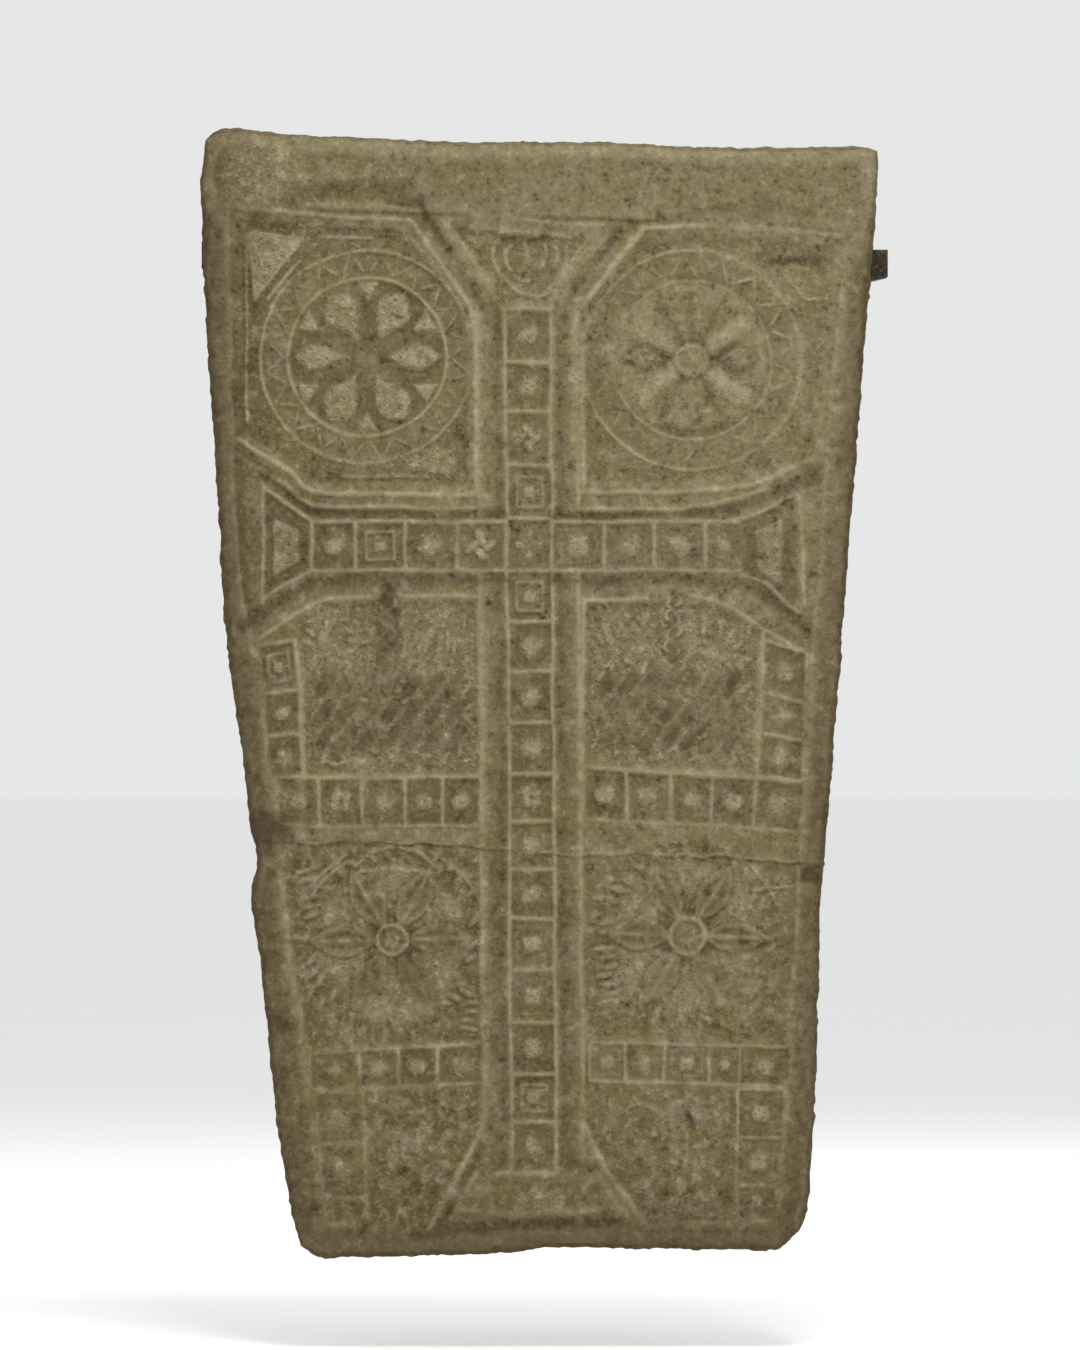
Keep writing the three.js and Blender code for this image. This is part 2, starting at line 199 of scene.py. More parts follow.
def fractal_noise(x: np.ndarray, z: np.ndarray, pitch: float, seed: int, octaves: int = 3) -> np.ndarray:
    """Value noise summed over octaves that halve in pitch and in height."""
    layers = [value_noise(x, z, pitch / 2**n, seed + n) / 2**n for n in range(octaves)]
    return sum(layers) / sum(1 / 2**n for n in range(octaves))


def blurred(grid: np.ndarray, reach: int) -> np.ndarray:
    """A grid averaged over a square window, three times, which is close to a bell curve."""
    width = 2 * reach + 1
    for _ in range(3):
        for axis in (0, 1):
            pad = [(reach + 1, reach) if a == axis else (0, 0) for a in (0, 1)]
            sums = np.cumsum(np.pad(grid, pad, mode="edge"), axis=axis)
            ahead = np.take(sums, range(width, sums.shape[axis]), axis=axis)
            behind = np.take(sums, range(sums.shape[axis] - width), axis=axis)
            grid = (ahead - behind) / width
    return grid


# ---- the canvas that the mason's marks are cut into ----


class Canvas:
    """The slab's face as a grid of points, with its relief and the marks that its finish follows."""

    def __init__(self, x: np.ndarray, z: np.ndarray) -> None:
        """Lays out a blank face on a grid of x and z, in millimetres."""
        drift = 1.6
        tremor = 0.5
        self.x = x + drift * value_noise(x, z, 70, 11) + tremor * value_noise(x, z, 14, 12)
        self.z = z + drift * value_noise(x, z, 70, 13) + tremor * value_noise(x, z, 14, 14)
        self.level = np.zeros(x.shape)
        self.pecked = np.zeros(x.shape)
        self.dusky = np.zeros(x.shape)
        self.pale = np.zeros(x.shape)
        rubbing = 0.62 + 0.62 * fractal_noise(x, z, 52, 15) + 0.35 * value_noise(x, z, 12, 16)
        self.kept = np.clip(rubbing, 0.3, 1.0)

    def near(self, path: Path, reach: float) -> tuple[np.ndarray, np.ndarray]:
        """The grid's indices within reach of a path's own box."""
        xs, zs = zip(*path)
        across = (self.x > min(xs) - reach) & (self.x < max(xs) + reach)
        return np.nonzero(across & (self.z > min(zs) - reach) & (self.z < max(zs) + reach))

    def inside(self, outline: Path, slope: float) -> tuple[tuple[np.ndarray, np.ndarray], np.ndarray]:
        """The grid's indices inside an outline, and how fully each lies in it past its sloping edge."""
        here = self.near(outline, slope)
        return here, step_smoothly(0.5 + depth_inside(self.x[here], self.z[here], outline) / slope)

    def along(self, path: Path, half_width: float) -> tuple[tuple[np.ndarray, np.ndarray], np.ndarray]:
        """The grid's indices along a path, and how near each lies to its middle."""
        here = self.near(path, half_width)
        return here, step_smoothly(1 - distance_to(self.x[here], self.z[here], path) / half_width)

    def bring_to(self, outline: Path, level: float, slope: float = 5.0, **marks: float) -> None:
        """Brings the ground inside an outline to a level, with a sloping edge.

        Args:
            outline: The ground's outline.
            level: The level that it is brought to.
            slope: The width of its edge.
            marks: How much each finish layer is raised there, by the layer's name.
        """
        here, share = self.inside(outline, slope)
        self.level[here] = mix(self.level[here], level, share)
        for layer, amount in marks.items():
            self.mark(getattr(self, layer), outline, amount)

    def mark(self, layer: np.ndarray, outline: Path, amount: float, slope: float = 6.0) -> None:
        """Raises one of the finish layers inside an outline."""
        here, share = self.inside(outline, slope)
        layer[here] = np.maximum(layer[here], share * amount)

    def unmark(self, layer: np.ndarray, outline: Path, slope: float = 4.0) -> None:
        """Takes one of the finish layers away inside an outline."""
        here, share = self.inside(outline, slope)
        layer[here] *= 1 - share

    def streak(self, layer: np.ndarray, path: Path, half_width: float, amount: float) -> None:
        """Raises one of the finish layers along a path."""
        here, share = self.along(path, half_width)
        layer[here] = np.maximum(layer[here], share * amount)

    def crest(self, path: Path, half_width: float = 2.4, top: float = CREST, light: float = 0.75) -> None:
        """Leaves a rounded ridge of stone standing along a path.

        Args:
            path: Where the ridge runs.
            half_width: How far from its middle it has dropped by the drop below.
            top: The level of its top.
            light: How much the top is painted paler, for wear and as a painted highlight.
        """
        drop = 1.6
        loss = 2.4
        here = self.near(path, half_width * 3)
        away = distance_to(self.x[here], self.z[here], path)
        kept = self.kept[here]
        ridge = top - loss * (1 - kept) ** 2 - drop * (away / half_width) ** 2
        self.level[here] = np.maximum(self.level[here], ridge)
        # the paler top is wear and a painted highlight
        rubbed = 0.85 * light * kept**1.3 * step_smoothly(1.3 - away / (half_width * 1.3))
        self.pale[here] = np.maximum(self.pale[here], rubbed)

    def groove(self, path: Path, half_width: float, depth: float, dusk: float = 0.5) -> None:
        """Cuts a rounded channel along a path.

        Args:
            path: Where the channel runs.
            half_width: Half its width at the surface.
            depth: How far it goes below the surface.
            dusk: How much it is painted darker, for dirt and as painted shade.
        """
        here, share = self.along(path, half_width)
        self.level[here] -= depth * share
        # the channel is painted darker: dirt and painted shade
        self.dusky[here] = np.maximum(self.dusky[here], dusk * share)


# ---- carved motifs that are stamped out again and again ----


class Form(Enum):
    """The forms that the repeated motifs are cut to."""

    PYRAMID = 0
    BLOCK = 1
    DOME = 2
    RING = 3


@dataclass(frozen=True)
class Motif:
    """One repeated motif: its form, its place on the face and its size in millimetres."""

    form: Form
    centre: Pair
    length: float
    width: float
    rise: float
    floor: float
    turn: float = 0.0


def furrowed(canvas: Canvas, start: Pair, end: Pair, gap: Pair, strength: float = 0.3) -> None:
    """Paints the top of a small leaf paler, for wear and as a painted highlight, and a painted shade in the
    furrow beside it.

    Args:
        canvas: The face to mark.
        start: The leaf's root.
        end: Its tip.
        gap: The way from the leaf's middle line to its furrow.
        strength: How far both marks show.
    """
    # painted highlight with wear on the leaf, painted shade in the furrow beside it
    canvas.streak(canvas.pale, [start, end], 4.5, strength)
    beside = [(x + gap[0], z + gap[1]) for x, z in (start, end)]
    canvas.streak(canvas.dusky, beside, 4.5, strength)


def ends_of(x: float, z: float, reach: float, lean: float) -> list[Pair]:
    """The ends of a straight stroke with a given middle, half length and lean in radians."""
    step = (reach * math.cos(lean), reach * math.sin(lean))
    return [(x - step[0], z - step[1]), (x + step[0], z + step[1])]


def stroke(start: Pair, end: Pair, width: float, rise: float, floor: float) -> Motif:
    """A thin raised stroke between two points, tapering at both ends."""
    centre = between(start, end, 0.5)
    turn = math.degrees(math.atan2(end[1] - start[1], end[0] - start[0]))
    length = math.dist(start, end)
    return Motif(Form.DOME, centre, length, width, rise, floor, turn)


class Gem(Enum):
    """The jewels that the cells of the cross and of the strips hold."""

    BLOB = "blob"
    SQUARE = "square"
    DIAMOND = "diamond"
    STAR = "star"
    FRAMED = "framed"
    PINWHEEL = "pinwheel"
    LOBED = "lobed"
    PYRAMIDS = "pyramids"
    WORN = "worn"


@dataclass
class Cell:
    """One sunk cell with a jewel in it."""

    corners: Sequence[Pair]
    gem: Gem
    depth: float = CELL
    motifs: list[Motif] = field(default_factory=list)

    def carve(self, canvas: Canvas) -> list[Motif]:
        """Sinks the cell and leaves its jewel standing.

        Args:
            canvas: The face to carve.

        Returns:
            The stamped motifs that the jewel is made of.
        """
        xs, zs = zip(*self.corners)
        self.centre = (sum(xs) / 4, sum(zs) / 4)
        self.width = math.dist(self.corners[0], self.corners[1])
        self.height = math.dist(self.corners[1], self.corners[2])
        self.size = min(self.width, self.height)
        # the sunk cell is painted a little darker: dirt and painted shade
        canvas.bring_to(self.corners, self.depth, 3.5, dusky=0.14)
        getattr(self, self.gem.value)(canvas)
        return self.motifs

    def stamp(self, form: Form, length: float, width: float, rise: float, turn: float = 0.0,
              shift: Pair = (0.0, 0.0)) -> None:
        """Adds a motif whose sizes are shares of the cell's."""
        spot = (self.centre[0] + shift[0] * self.size, self.centre[1] + shift[1] * self.size)
        self.motifs.append(Motif(form, spot, length * self.size, width * self.size, rise, self.depth, turn))

    def glow(self, canvas: Canvas, reach: float) -> None:
        """Marks the jewel as pecked and paler than its ground."""
        rng = np.random.default_rng(int(abs(self.centre[0] * 7 + self.centre[1] * 13)))
        spot = []
        for angle in np.linspace(0, 2 * math.pi, 9, endpoint=False):
            spot.append(around(self.centre, reach * self.size * rng.uniform(0.62, 1.25), angle))
        canvas.mark(canvas.pecked, spot, 0.9)
        canvas.mark(canvas.pale, spot, 0.3, 9)

    def frame(self, canvas: Canvas, share: float, top: float) -> None:
        """A raised frame inside the cell."""
        inner = [between(self.centre, corner, share) for corner in self.corners]
        canvas.crest([*inner, inner[0]], 1.9, top, 0.35)

    def blob(self, canvas: Canvas) -> None:
        """A low rounded lump."""
        self.glow(canvas, 0.26)
        self.stamp(Form.DOME, 0.52, 0.42, 4.5, 25)
        self.stamp(Form.DOME, 0.3, 0.26, 5.2, 70, (0.08, -0.06))

    def square(self, canvas: Canvas) -> None:
        """A block with a flat top inside a faint frame."""
        self.glow(canvas, 0.27)
        self.stamp(Form.BLOCK, 0.48, 0.48, 4.6)
        self.frame(canvas, 0.66, self.depth + 2.2)

    def diamond(self, canvas: Canvas) -> None:
        """A pyramid set on its corner."""
        self.glow(canvas, 0.28)
        self.stamp(Form.PYRAMID, 0.72, 0.66, 5.6)

    def star(self, canvas: Canvas) -> None:
        """A diamond laid over a block, eight points in all."""
        self.glow(canvas, 0.3)
        self.stamp(Form.PYRAMID, 0.7, 0.7, 4.8)
        self.stamp(Form.BLOCK, 0.42, 0.42, 3.8)

    def framed(self, canvas: Canvas) -> None:
        """A small pyramid inside a square frame."""
        self.glow(canvas, 0.3)
        self.frame(canvas, 0.56, self.depth + 4.4)
        self.stamp(Form.BLOCK, 0.3, 0.3, 4.4)

    def pinwheel(self, canvas: Canvas) -> None:
        """Four slanting leaves round a middle."""
        self.glow(canvas, 0.3)
        for lean in (0, 90, 180, 270):
            self.stamp(Form.DOME, 0.4, 0.2, 4.6, lean + 38, around((0, 0), 0.17, math.radians(lean)))

    def lobed(self, canvas: Canvas) -> None:
        """Four round lobes."""
        self.glow(canvas, 0.3)
        for lean in (45, 135, 225, 315):
            self.stamp(Form.DOME, 0.27, 0.27, 4.4, 0, around((0, 0), 0.15, math.radians(lean)))

    def pyramids(self, canvas: Canvas) -> None:
        """Four small pyramids, where the bars cross."""
        self.glow(canvas, 0.36)
        for lean in (0, 90, 180, 270):
            self.stamp(Form.PYRAMID, 0.34, 0.3, 4.6, lean, around((0, 0), 0.24, math.radians(lean)))

    def worn(self, canvas: Canvas) -> None:
        """A jewel rubbed nearly flat."""
        self.glow(canvas, 0.32)
        self.stamp(Form.DOME, 0.5, 0.44, 2.6, 15)
        self.stamp(Form.DOME, 0.24, 0.2, 3.4, 60, (-0.12, 0.1))


@dataclass
class CellRun:
    """A run of cells between two rails, parted by thin ridges."""

    rail_a: tuple[Pair, Pair]
    rail_b: tuple[Pair, Pair]
    places: Sequence[float]
    gems: Sequence[Gem]
    depth: float = CELL
    rail_light: float = 0.7

    def carve(self, canvas: Canvas) -> list[Motif]:
        """Sinks each cell, then lays the rails and the ridges between them.

        Args:
            canvas: The face to carve.

        Returns:
            The stamped motifs of all the jewels.
        """
        motifs: list[Motif] = []
        cuts = shares_of(self.places)
        for gem, (start, end) in zip(self.gems, pairwise(cuts)):
            corners = [between(*self.rail_a, start), between(*self.rail_a, end),
                       between(*self.rail_b, end), between(*self.rail_b, start)]
            motifs += Cell(corners, gem, self.depth).carve(canvas)
        for rail in (self.rail_a, self.rail_b):
            canvas.crest(rail, 2.2, FLUSH + 0.6, self.rail_light)
        for cut in cuts:
            parting = [between(*self.rail_a, cut), between(*self.rail_b, cut)]
            canvas.crest(parting, 2.3, FLUSH + 0.4, self.rail_light)
        return motifs


def shares_of(places: Sequence[float]) -> list[float]:
    """Places along a line as shares of its length."""
    return [(place - places[0]) / (places[-1] - places[0]) for place in places]


# ---- the parts of the carving ----


@dataclass
class Border:
    """The plain margin, the ridge inside it and the channels cut in the top margin."""

    left: Path = ((-416, 650), (-412, 337), (-407, 231), (-400, 137), (-385, 64), (-372, -9), (-361, -89),
                  (-344, -249), (-335, -329), (-321, -423), (-308, -543), (-301, -609), (-292, -700))
    right: Path = ((405, 612), (401, 537), (396, 484), (385, 391), (381, 337), (376, 231), (372, 177),
                   (368, 124), (360, 61), (357, -8), (352, -75), (344, -228), (340, -329), (332, -409),
                   (325, -543), (320, -600), (314, -698))
    face_floor: float = -4.2

    def carve(self, canvas: Canvas) -> list[Motif]:
        """Sinks the whole face a little inside its margin and leaves the border ridges.

        Args:
            canvas: The face to carve.

        Returns:
            No motifs.
        """
        face = [*self.left, (-120, -716), (110, -708), *reversed(self.right), (132, 632), (-171, 640)]
        canvas.bring_to(face, self.face_floor, 5)
        canvas.crest(rounded(self.left, 4), 2.6, CREST, 0.5)
        canvas.crest(rounded(self.right, 4), 2.6, CREST, 0.55)
        for path, half_width, depth in (
            ([(-340, 672), (-250, 675), (-178, 673)], 19, 1.8),
            ([(-345, 656), (-255, 661), (-172, 658), (-150, 630), (-128, 598)], 9, 1.8),
            ([(198, 642), (290, 645), (365, 640)], 10, 2.0),
            ([(160, 634), (240, 627), (320, 624), (390, 615)], 9, 2.0),
        ):
            canvas.groove(rounded(path), half_width, depth, 0.42)
        canvas.crest([(-325, 688), (-250, 690), (-175, 689)], 2.4, 0.3, 0.6)
        canvas.crest([(-330, 705), (-240, 701), (-190, 703)], 2.6, 0.6, 0.3)
        canvas.groove([(-205, 655), (-158, 648)], 6, 2.0, 0.9)
        worn_corner = [(-420, 728), (-352, 736), (-318, 712), (-326, 668), (-350, 652), (-418, 660)]
        canvas.mark(canvas.pale, worn_corner, 0.34, 20)
        canvas.mark(canvas.pecked, worn_corner, 0.8, 20)
        return []


@dataclass
class Cross:
    """The jewelled cross with flared ends that parts the face into panels."""

    half: float = 30.0
    centre_top: float = -18.0
    centre_foot: float = -9.0
    lines: Sequence[float] = (512, 441, 375, 303, 232, 163, 95, 28, -40, -108, -171, -235, -300, -369,
                              -439, -508, -572, -639)
    gems: Sequence[Gem] = (Gem.BLOB, Gem.STAR, Gem.PINWHEEL, Gem.FRAMED, Gem.PYRAMIDS, Gem.FRAMED,
                           Gem.DIAMOND, Gem.STAR, Gem.STAR, Gem.LOBED, Gem.WORN, Gem.BLOB, Gem.SQUARE,
                           Gem.SQUARE, Gem.WORN, Gem.FRAMED, Gem.WORN)
    bar_top: float = 228.0
    bar_foot: float = 163.0

    def middle(self, z: float) -> float:
        """The x of the upright bar's centre line, which leans a little."""
        return mix(self.centre_top, self.centre_foot, (512 - z) / 1151)

    def side_line(self, side: int, grow: float, start: float, end: float) -> list[Pair]:
        """A line beside the upright bar, between two heights."""
        return [(self.middle(z) + side * (self.half + grow), z) for z in (start, end)]

    def carve(self, canvas: Canvas) -> list[Motif]:
        """Cuts the coves beside the bars, the cells down them and the flared ends.

        Args:
            canvas: The face to carve.

        Returns:
            The stamped motifs of the jewels.
        """
        self.coves(canvas)
        motifs = self.upright(canvas) + self.crossbar(canvas)
        self.top_flare(canvas)
        self.side_flares(canvas)
        self.foot_flare(canvas)
        return motifs

    def coves(self, canvas: Canvas) -> None:
        """The rounded bands that run beside both bars."""
        upper = ((520, self.bar_top + 8), (self.bar_foot - 8, -625))
        for start, end in upper:
            for side, width in ((-1, 34), (1, 32)):
                inner = self.side_line(side, 2, start, end)
                outer = self.side_line(side, width + 2, end, start)
                canvas.bring_to([*inner, *outer], FLUSH - 0.8, 6)
                canvas.groove(self.side_line(side, 9, start, end), 12, 3.0, 0.42)
                canvas.groove(self.side_line(side, 20, start, end), 16, 1.6, 0.22)
                canvas.crest(self.side_line(side, width + 3, start, end), 3.4, CREST - 0.3, 0.42)

    def upright(self, canvas: Canvas) -> list[Motif]:
        """The cells down the upright bar."""
        top, foot = self.lines[0], self.lines[-1]
        left = ((self.middle(top) - self.half, top), (self.middle(foot) - self.half, foot))
        right = ((self.middle(top) + self.half, top), (self.middle(foot) + self.half, foot))
        return CellRun(left, right, self.lines, self.gems).carve(canvas)

    def crossbar(self, canvas: Canvas) -> list[Motif]:
        """The cells along both arms of the crossbar and the coves above and below it."""
        for path in (
            [(-398, 312), (-360, 285), (-318, 250), (-295, 240), (-180, 238), (-52, 238)],
            [(16, 236), (120, 236), (220, 238), (262, 246), (330, 276), (366, 290)],
            [(-396, 88), (-360, 112), (-322, 136), (-290, 148), (-180, 150), (-46, 149)],
            [(16, 150), (140, 151), (250, 147), (300, 130), (345, 92), (358, 78)],
        ):
            # the coves beside the crossbar are painted darker: dirt and painted shade
            canvas.streak(canvas.dusky, rounded(path), 17, 0.45)
            canvas.groove(rounded(path), 14, 2.8, 0.5)
        motifs: list[Motif] = []
        arms = (
            ((-305, -247, -181, -112, -48), (Gem.BLOB, Gem.FRAMED, Gem.DIAMOND, Gem.PINWHEEL)),
            ((14, 84, 152, 219, 268), (Gem.SQUARE, Gem.DIAMOND, Gem.WORN, Gem.WORN)),
        )
        for places, gems in arms:
            upper = ((places[0], self.bar_top), (places[-1], self.bar_top))
            lower = ((places[0], self.bar_foot), (places[-1], self.bar_foot))
            motifs += CellRun(upper, lower, places, gems).carve(canvas)
        return motifs

    def top_flare(self, canvas: Canvas) -> None:
        """The splayed head of the cross, with a curled shield between two leaves."""
        canvas.bring_to([(-150, 636), (100, 630), (50, 520), (-90, 520)], -2.4, 8)
        inner = [(-120, 618), (66, 606), (34, 566), (12, 520), (-50, 520), (-72, 562)]
        canvas.bring_to(inner, -5.4, 8, pecked=0.35)
        for path, light in (
            ([(-51, 511), (-68, 537), (-84, 564), (-95, 584), (-125, 628)], 0.7),
            ([(12, 511), (24, 545), (44, 580), (74, 620)], 0.45),
            ([(-95, 637), (-30, 633), (20, 627), (85, 625)], 0.85),
            ([(-56, 614), (-23, 616), (38, 608)], 0.65),
            ([(-48, 511), (-20, 513), (12, 511)], 0.6),
            ([(-56, 604), (-63, 590), (-58, 566), (-40, 543), (-23, 531), (3, 529), (20, 549), (33, 574),
              (34, 596)], 0.5),
            ([(-40, 598), (-48, 584), (-42, 566), (-26, 550), (-12, 550), (2, 566), (8, 584), (4, 598)], 0.4),
            ([(-19, 596), (-17, 574)], 0.5),
            ([(12, 598), (20, 590), (22, 574)], 0.4),
        ):
            canvas.crest(rounded(path), 2.3, FLUSH, light)
        for path, half_width in (
            ([(-61, 582), (-60, 596), (-46, 606), (-22, 603), (2, 606)], 4.5),
            ([(10, 596), (8, 572), (-6, 556), (-12, 551)], 4.5), ([(-36, 560), (-26, 552), (-20, 558)], 4.5),
        ):
            canvas.groove(rounded(path), half_width, 1.8, 0.7)
        for path in ([(-95, 517), (-108, 537), (-135, 575), (-171, 625)],
                     [(41, 480), (50, 510), (71, 538), (98, 572), (138, 619)]):
            canvas.crest(rounded(path), 3.4, CREST, 0.75)
        for path in ([(-76, 512), (-94, 545), (-122, 590), (-152, 636)],
                     [(32, 500), (38, 520), (46, 543), (64, 569), (80, 587), (104, 612)]):
            canvas.groove(rounded(path), 10, 2.4, 0.5)

    def side_flares(self, canvas: Canvas) -> None:
        """The splayed ends of the crossbar, each with a framed pecked panel."""
        for panel, frame_line, outer in (
            ([(-355, 231), (-324, 217), (-324, 177), (-355, 157)],
             [(-311, 230), (-372, 275), (-370, 124), (-311, 162)], [(-370, 280), (-370, 120)]),
            ([(319, 231), (288, 215), (288, 169), (319, 143)],
             [(262, 230), (287, 239), (335, 263), (343, 128), (325, 122), (268, 156)],
             [(345, 262), (352, 120)]),
        ):
            # the sunk ground is painted darker: dirt and painted shade
            canvas.bring_to(frame_line, -5.8, 5, dusky=0.35)
            canvas.bring_to(panel, -2.6, 5, pecked=1.0, pale=0.4)
            canvas.crest([*panel, panel[0]], 2.0, FLUSH - 0.6, 0.5)
            canvas.crest(outer, 2.4, FLUSH + 0.6, 0.6)
        for path, light in (
            ([(-372, 275), (-340, 254), (-305, 229)], 0.7), ([(-370, 124), (-340, 144), (-305, 162)], 0.6),
            ([(252, 229), (287, 239), (324, 259), (335, 263)], 0.65),
            ([(265, 158), (300, 146), (325, 122), (345, 108)], 0.5),
        ):
            canvas.crest(rounded(path), 2.2, FLUSH + 0.4, light)

    def foot_flare(self, canvas: Canvas) -> None:
        """The splayed foot of the cross and the rough patch where its base has flaked."""
        canvas.bring_to([(-76, -640), (62, -640), (118, -704), (-118, -698)], -3.4, 8)
        for path, light in (
            ([(-76, -560), (-94, -610), (-150, -716)], 1.2), ([(58, -575), (84, -630), (142, -712)], 0.9),
            ([(-88, -640), (-121, -700)], 0.6), ([(78, -650), (122, -706)], 0.7),
            ([(-59, -639), (23, -639)], 0.9), ([(-104, -688), (-20, -694), (104, -690)], 0.6),
        ):
            canvas.crest(rounded(path), 3.2, FLUSH + 0.8, light)
        for path in ([(-66, -566), (-84, -616), (-138, -712)], [(68, -572), (96, -632), (152, -706)]):
            canvas.groove(rounded(path), 9, 1.8, 0.4)
        patch = [(-30, -662), (26, -660), (34, -692), (-34, -690)]
        canvas.mark(canvas.pecked, patch, 1.0)
        canvas.mark(canvas.pale, patch, 0.5)
        canvas.groove(rounded([(-168, -722), (-90, -714), (0, -708), (105, -708)]), 13, 2.4, 0.5)


@dataclass
class UpperPanels:
    """The frames and corner patches of the two panels above the crossbar."""

    left_field: Path = ((-396, 628), (-190, 617), (-150, 574), (-112, 520), (-99, 490), (-98, 278),
                        (-296, 280), (-335, 308), (-400, 350))
    right_field: Path = ((136, 606), (300, 606), (392, 596), (382, 500), (370, 392), (360, 318), (301, 298),
                         (181, 280), (54, 280), (54, 470), (66, 520), (96, 555))

    def carve(self, canvas: Canvas) -> list[Motif]:
        """Sinks the two fields and leaves their frames.

        Args:
            canvas: The face to carve.

        Returns:
            No motifs.
        """
        canvas.bring_to(self.left_field, FIELD, 7, pecked=0.4)
        canvas.bring_to(self.right_field, FIELD + 0.8, 8, pecked=0.35)
        frames = (
            ([(-417, 648), (-321, 639), (-188, 631), (-171, 625), (-135, 575), (-108, 537), (-95, 517)],
             0.75),
            ([(-95, 517), (-88, 480), (-86, 400), (-87, 264)], 0.85),
            ([(-87, 264), (-200, 265), (-301, 268), (-335, 297), (-372, 317), (-405, 337)], 0.8),
            ([(-70, 262), (-70, 247), (-190, 247), (-300, 249), (-340, 277), (-372, 296), (-406, 316)], 0.75),
            ([(132, 620), (210, 622), (292, 620), (359, 615), (405, 608)], 1.0),
            ([(43, 471), (42, 380), (44, 264)], 0.7),
            ([(56, 478), (55, 380), (57, 276)], 0.55),
            ([(43, 267), (120, 268), (181, 267), (256, 273), (301, 285), (324, 296), (365, 312)], 0.8),
            ([(28, 244), (110, 245), (181, 244), (215, 248), (256, 258), (300, 272)], 0.75),
        )
        for path, light in frames:
            canvas.crest(path if len(path) < 4 else rounded(path, 3), 3.0, CREST, light)
        self.corners(canvas)
        return []

    def corners(self, canvas: Canvas) -> None:
        """The pecked patches and the short lines in the panels' outer corners."""
        triangle = [(-388, 613), (-317, 604), (-381, 524)]
        canvas.bring_to(triangle, -4.2, 5, pecked=1.0, pale=0.45)
        canvas.crest([*triangle, triangle[0]], 2.0, -2.0, 0.4)
        for path, light in (([(-321, 575), (-364, 524)], 0.5), ([(-295, 609), (-228, 607)], 0.4),
                            ([(-392, 640), (-392, 360)], 0.25), ([(-150, 288), (-262, 288)], 0.35),
                            ([(325, 557), (352, 526), (392, 524)], 0.45)):
            canvas.crest(path, 2.1, -3.2, light)
        canvas.mark(canvas.pecked, [(-200, 330), (-110, 330), (-110, 284), (-200, 284)], 0.9)
        canvas.mark(canvas.pale, [(-170, 326), (-112, 326), (-112, 296), (-170, 296)], 0.35)
        canvas.groove([(308, 576), (386, 577)], 7, 2.0, 0.8)


@dataclass
class Medallion:
    """A round panel: two thin rings with a zigzag between them and a wheel of lobes inside."""

    centre: Pair
    outer: float
    inner: float
    teeth: int
    wear: float
    hub: float = 14.0
    floor: float = FIELD

    def carve(self, canvas: Canvas) -> list[Motif]:
        """Cuts the rings and the wheel.

        Args:
            canvas: The face to carve.

        Returns:
            The strokes of the zigzag.
        """
        light = 0.5 * (1 - 0.4 * self.wear)
        top = self.floor + mix(4.2, 3.2, self.wear)
        canvas.bring_to(arc(self.centre, self.inner, 0, 350, 35), self.floor - 0.8, 5)
        canvas.unmark(canvas.pecked, arc(self.centre, self.outer, 0, 350, 35))
        for radius in (self.outer, self.inner):
            canvas.crest(arc(self.centre, radius, 0, 360, 72), 2.1, top, light)
        self.wheel(canvas)
        return self.zigzag(top)

    def zigzag(self, top: float) -> list[Motif]:
        """Thin strokes that run to and fro between the rings."""
        turns = np.linspace(0, 2 * math.pi, 2 * self.teeth + 1)
        corners = []
        for i, angle in enumerate(turns):
            radius = self.outer - 4 if i % 2 else self.inner + 4
            corners.append(around(self.centre, radius, angle))
        rise = (top - self.floor) * mix(0.6, 0.42, self.wear)
        return [stroke(a, b, 4.6, rise, self.floor) for a, b in pairwise(corners)]

    def wheel(self, canvas: Canvas) -> None:
        """Six pecked lobes, parted by smooth arms that hold a small wedge at the rim."""
        level_lobe = lens(self.hub * 1.7, self.inner - 5, 19, 1.3)
        slanting_lobe = lens(self.hub * 1.5, self.inner - 5, 25, 1.5)
        wedge = [(self.inner * 0.68, 0), (self.inner - 6, -15), (self.inner - 6, 15)]
        canvas.mark(canvas.dusky, arc(self.centre, self.inner - 4, 0, 350, 35), 0.3)
        for sixth in range(6):
            shape = placed(slanting_lobe if sixth % 3 else level_lobe, self.centre, 60 * sixth)
            canvas.unmark(canvas.dusky, shape)
            canvas.bring_to(shape, self.floor + 3.4, 5, pecked=0.95)
            canvas.mark(canvas.pale, shape, 0.24, 12)
            canvas.groove([*shape, shape[0]], 6, 1.6, 0.3)
            small = placed(wedge, self.centre, 60 * sixth + 30)
            canvas.unmark(canvas.dusky, small)
            canvas.bring_to(small, self.floor + 2.6, 4, pecked=0.9, pale=0.34)
        canvas.bring_to(arc(self.centre, self.hub, 0, 340, 17), self.floor + 1.2, 5)


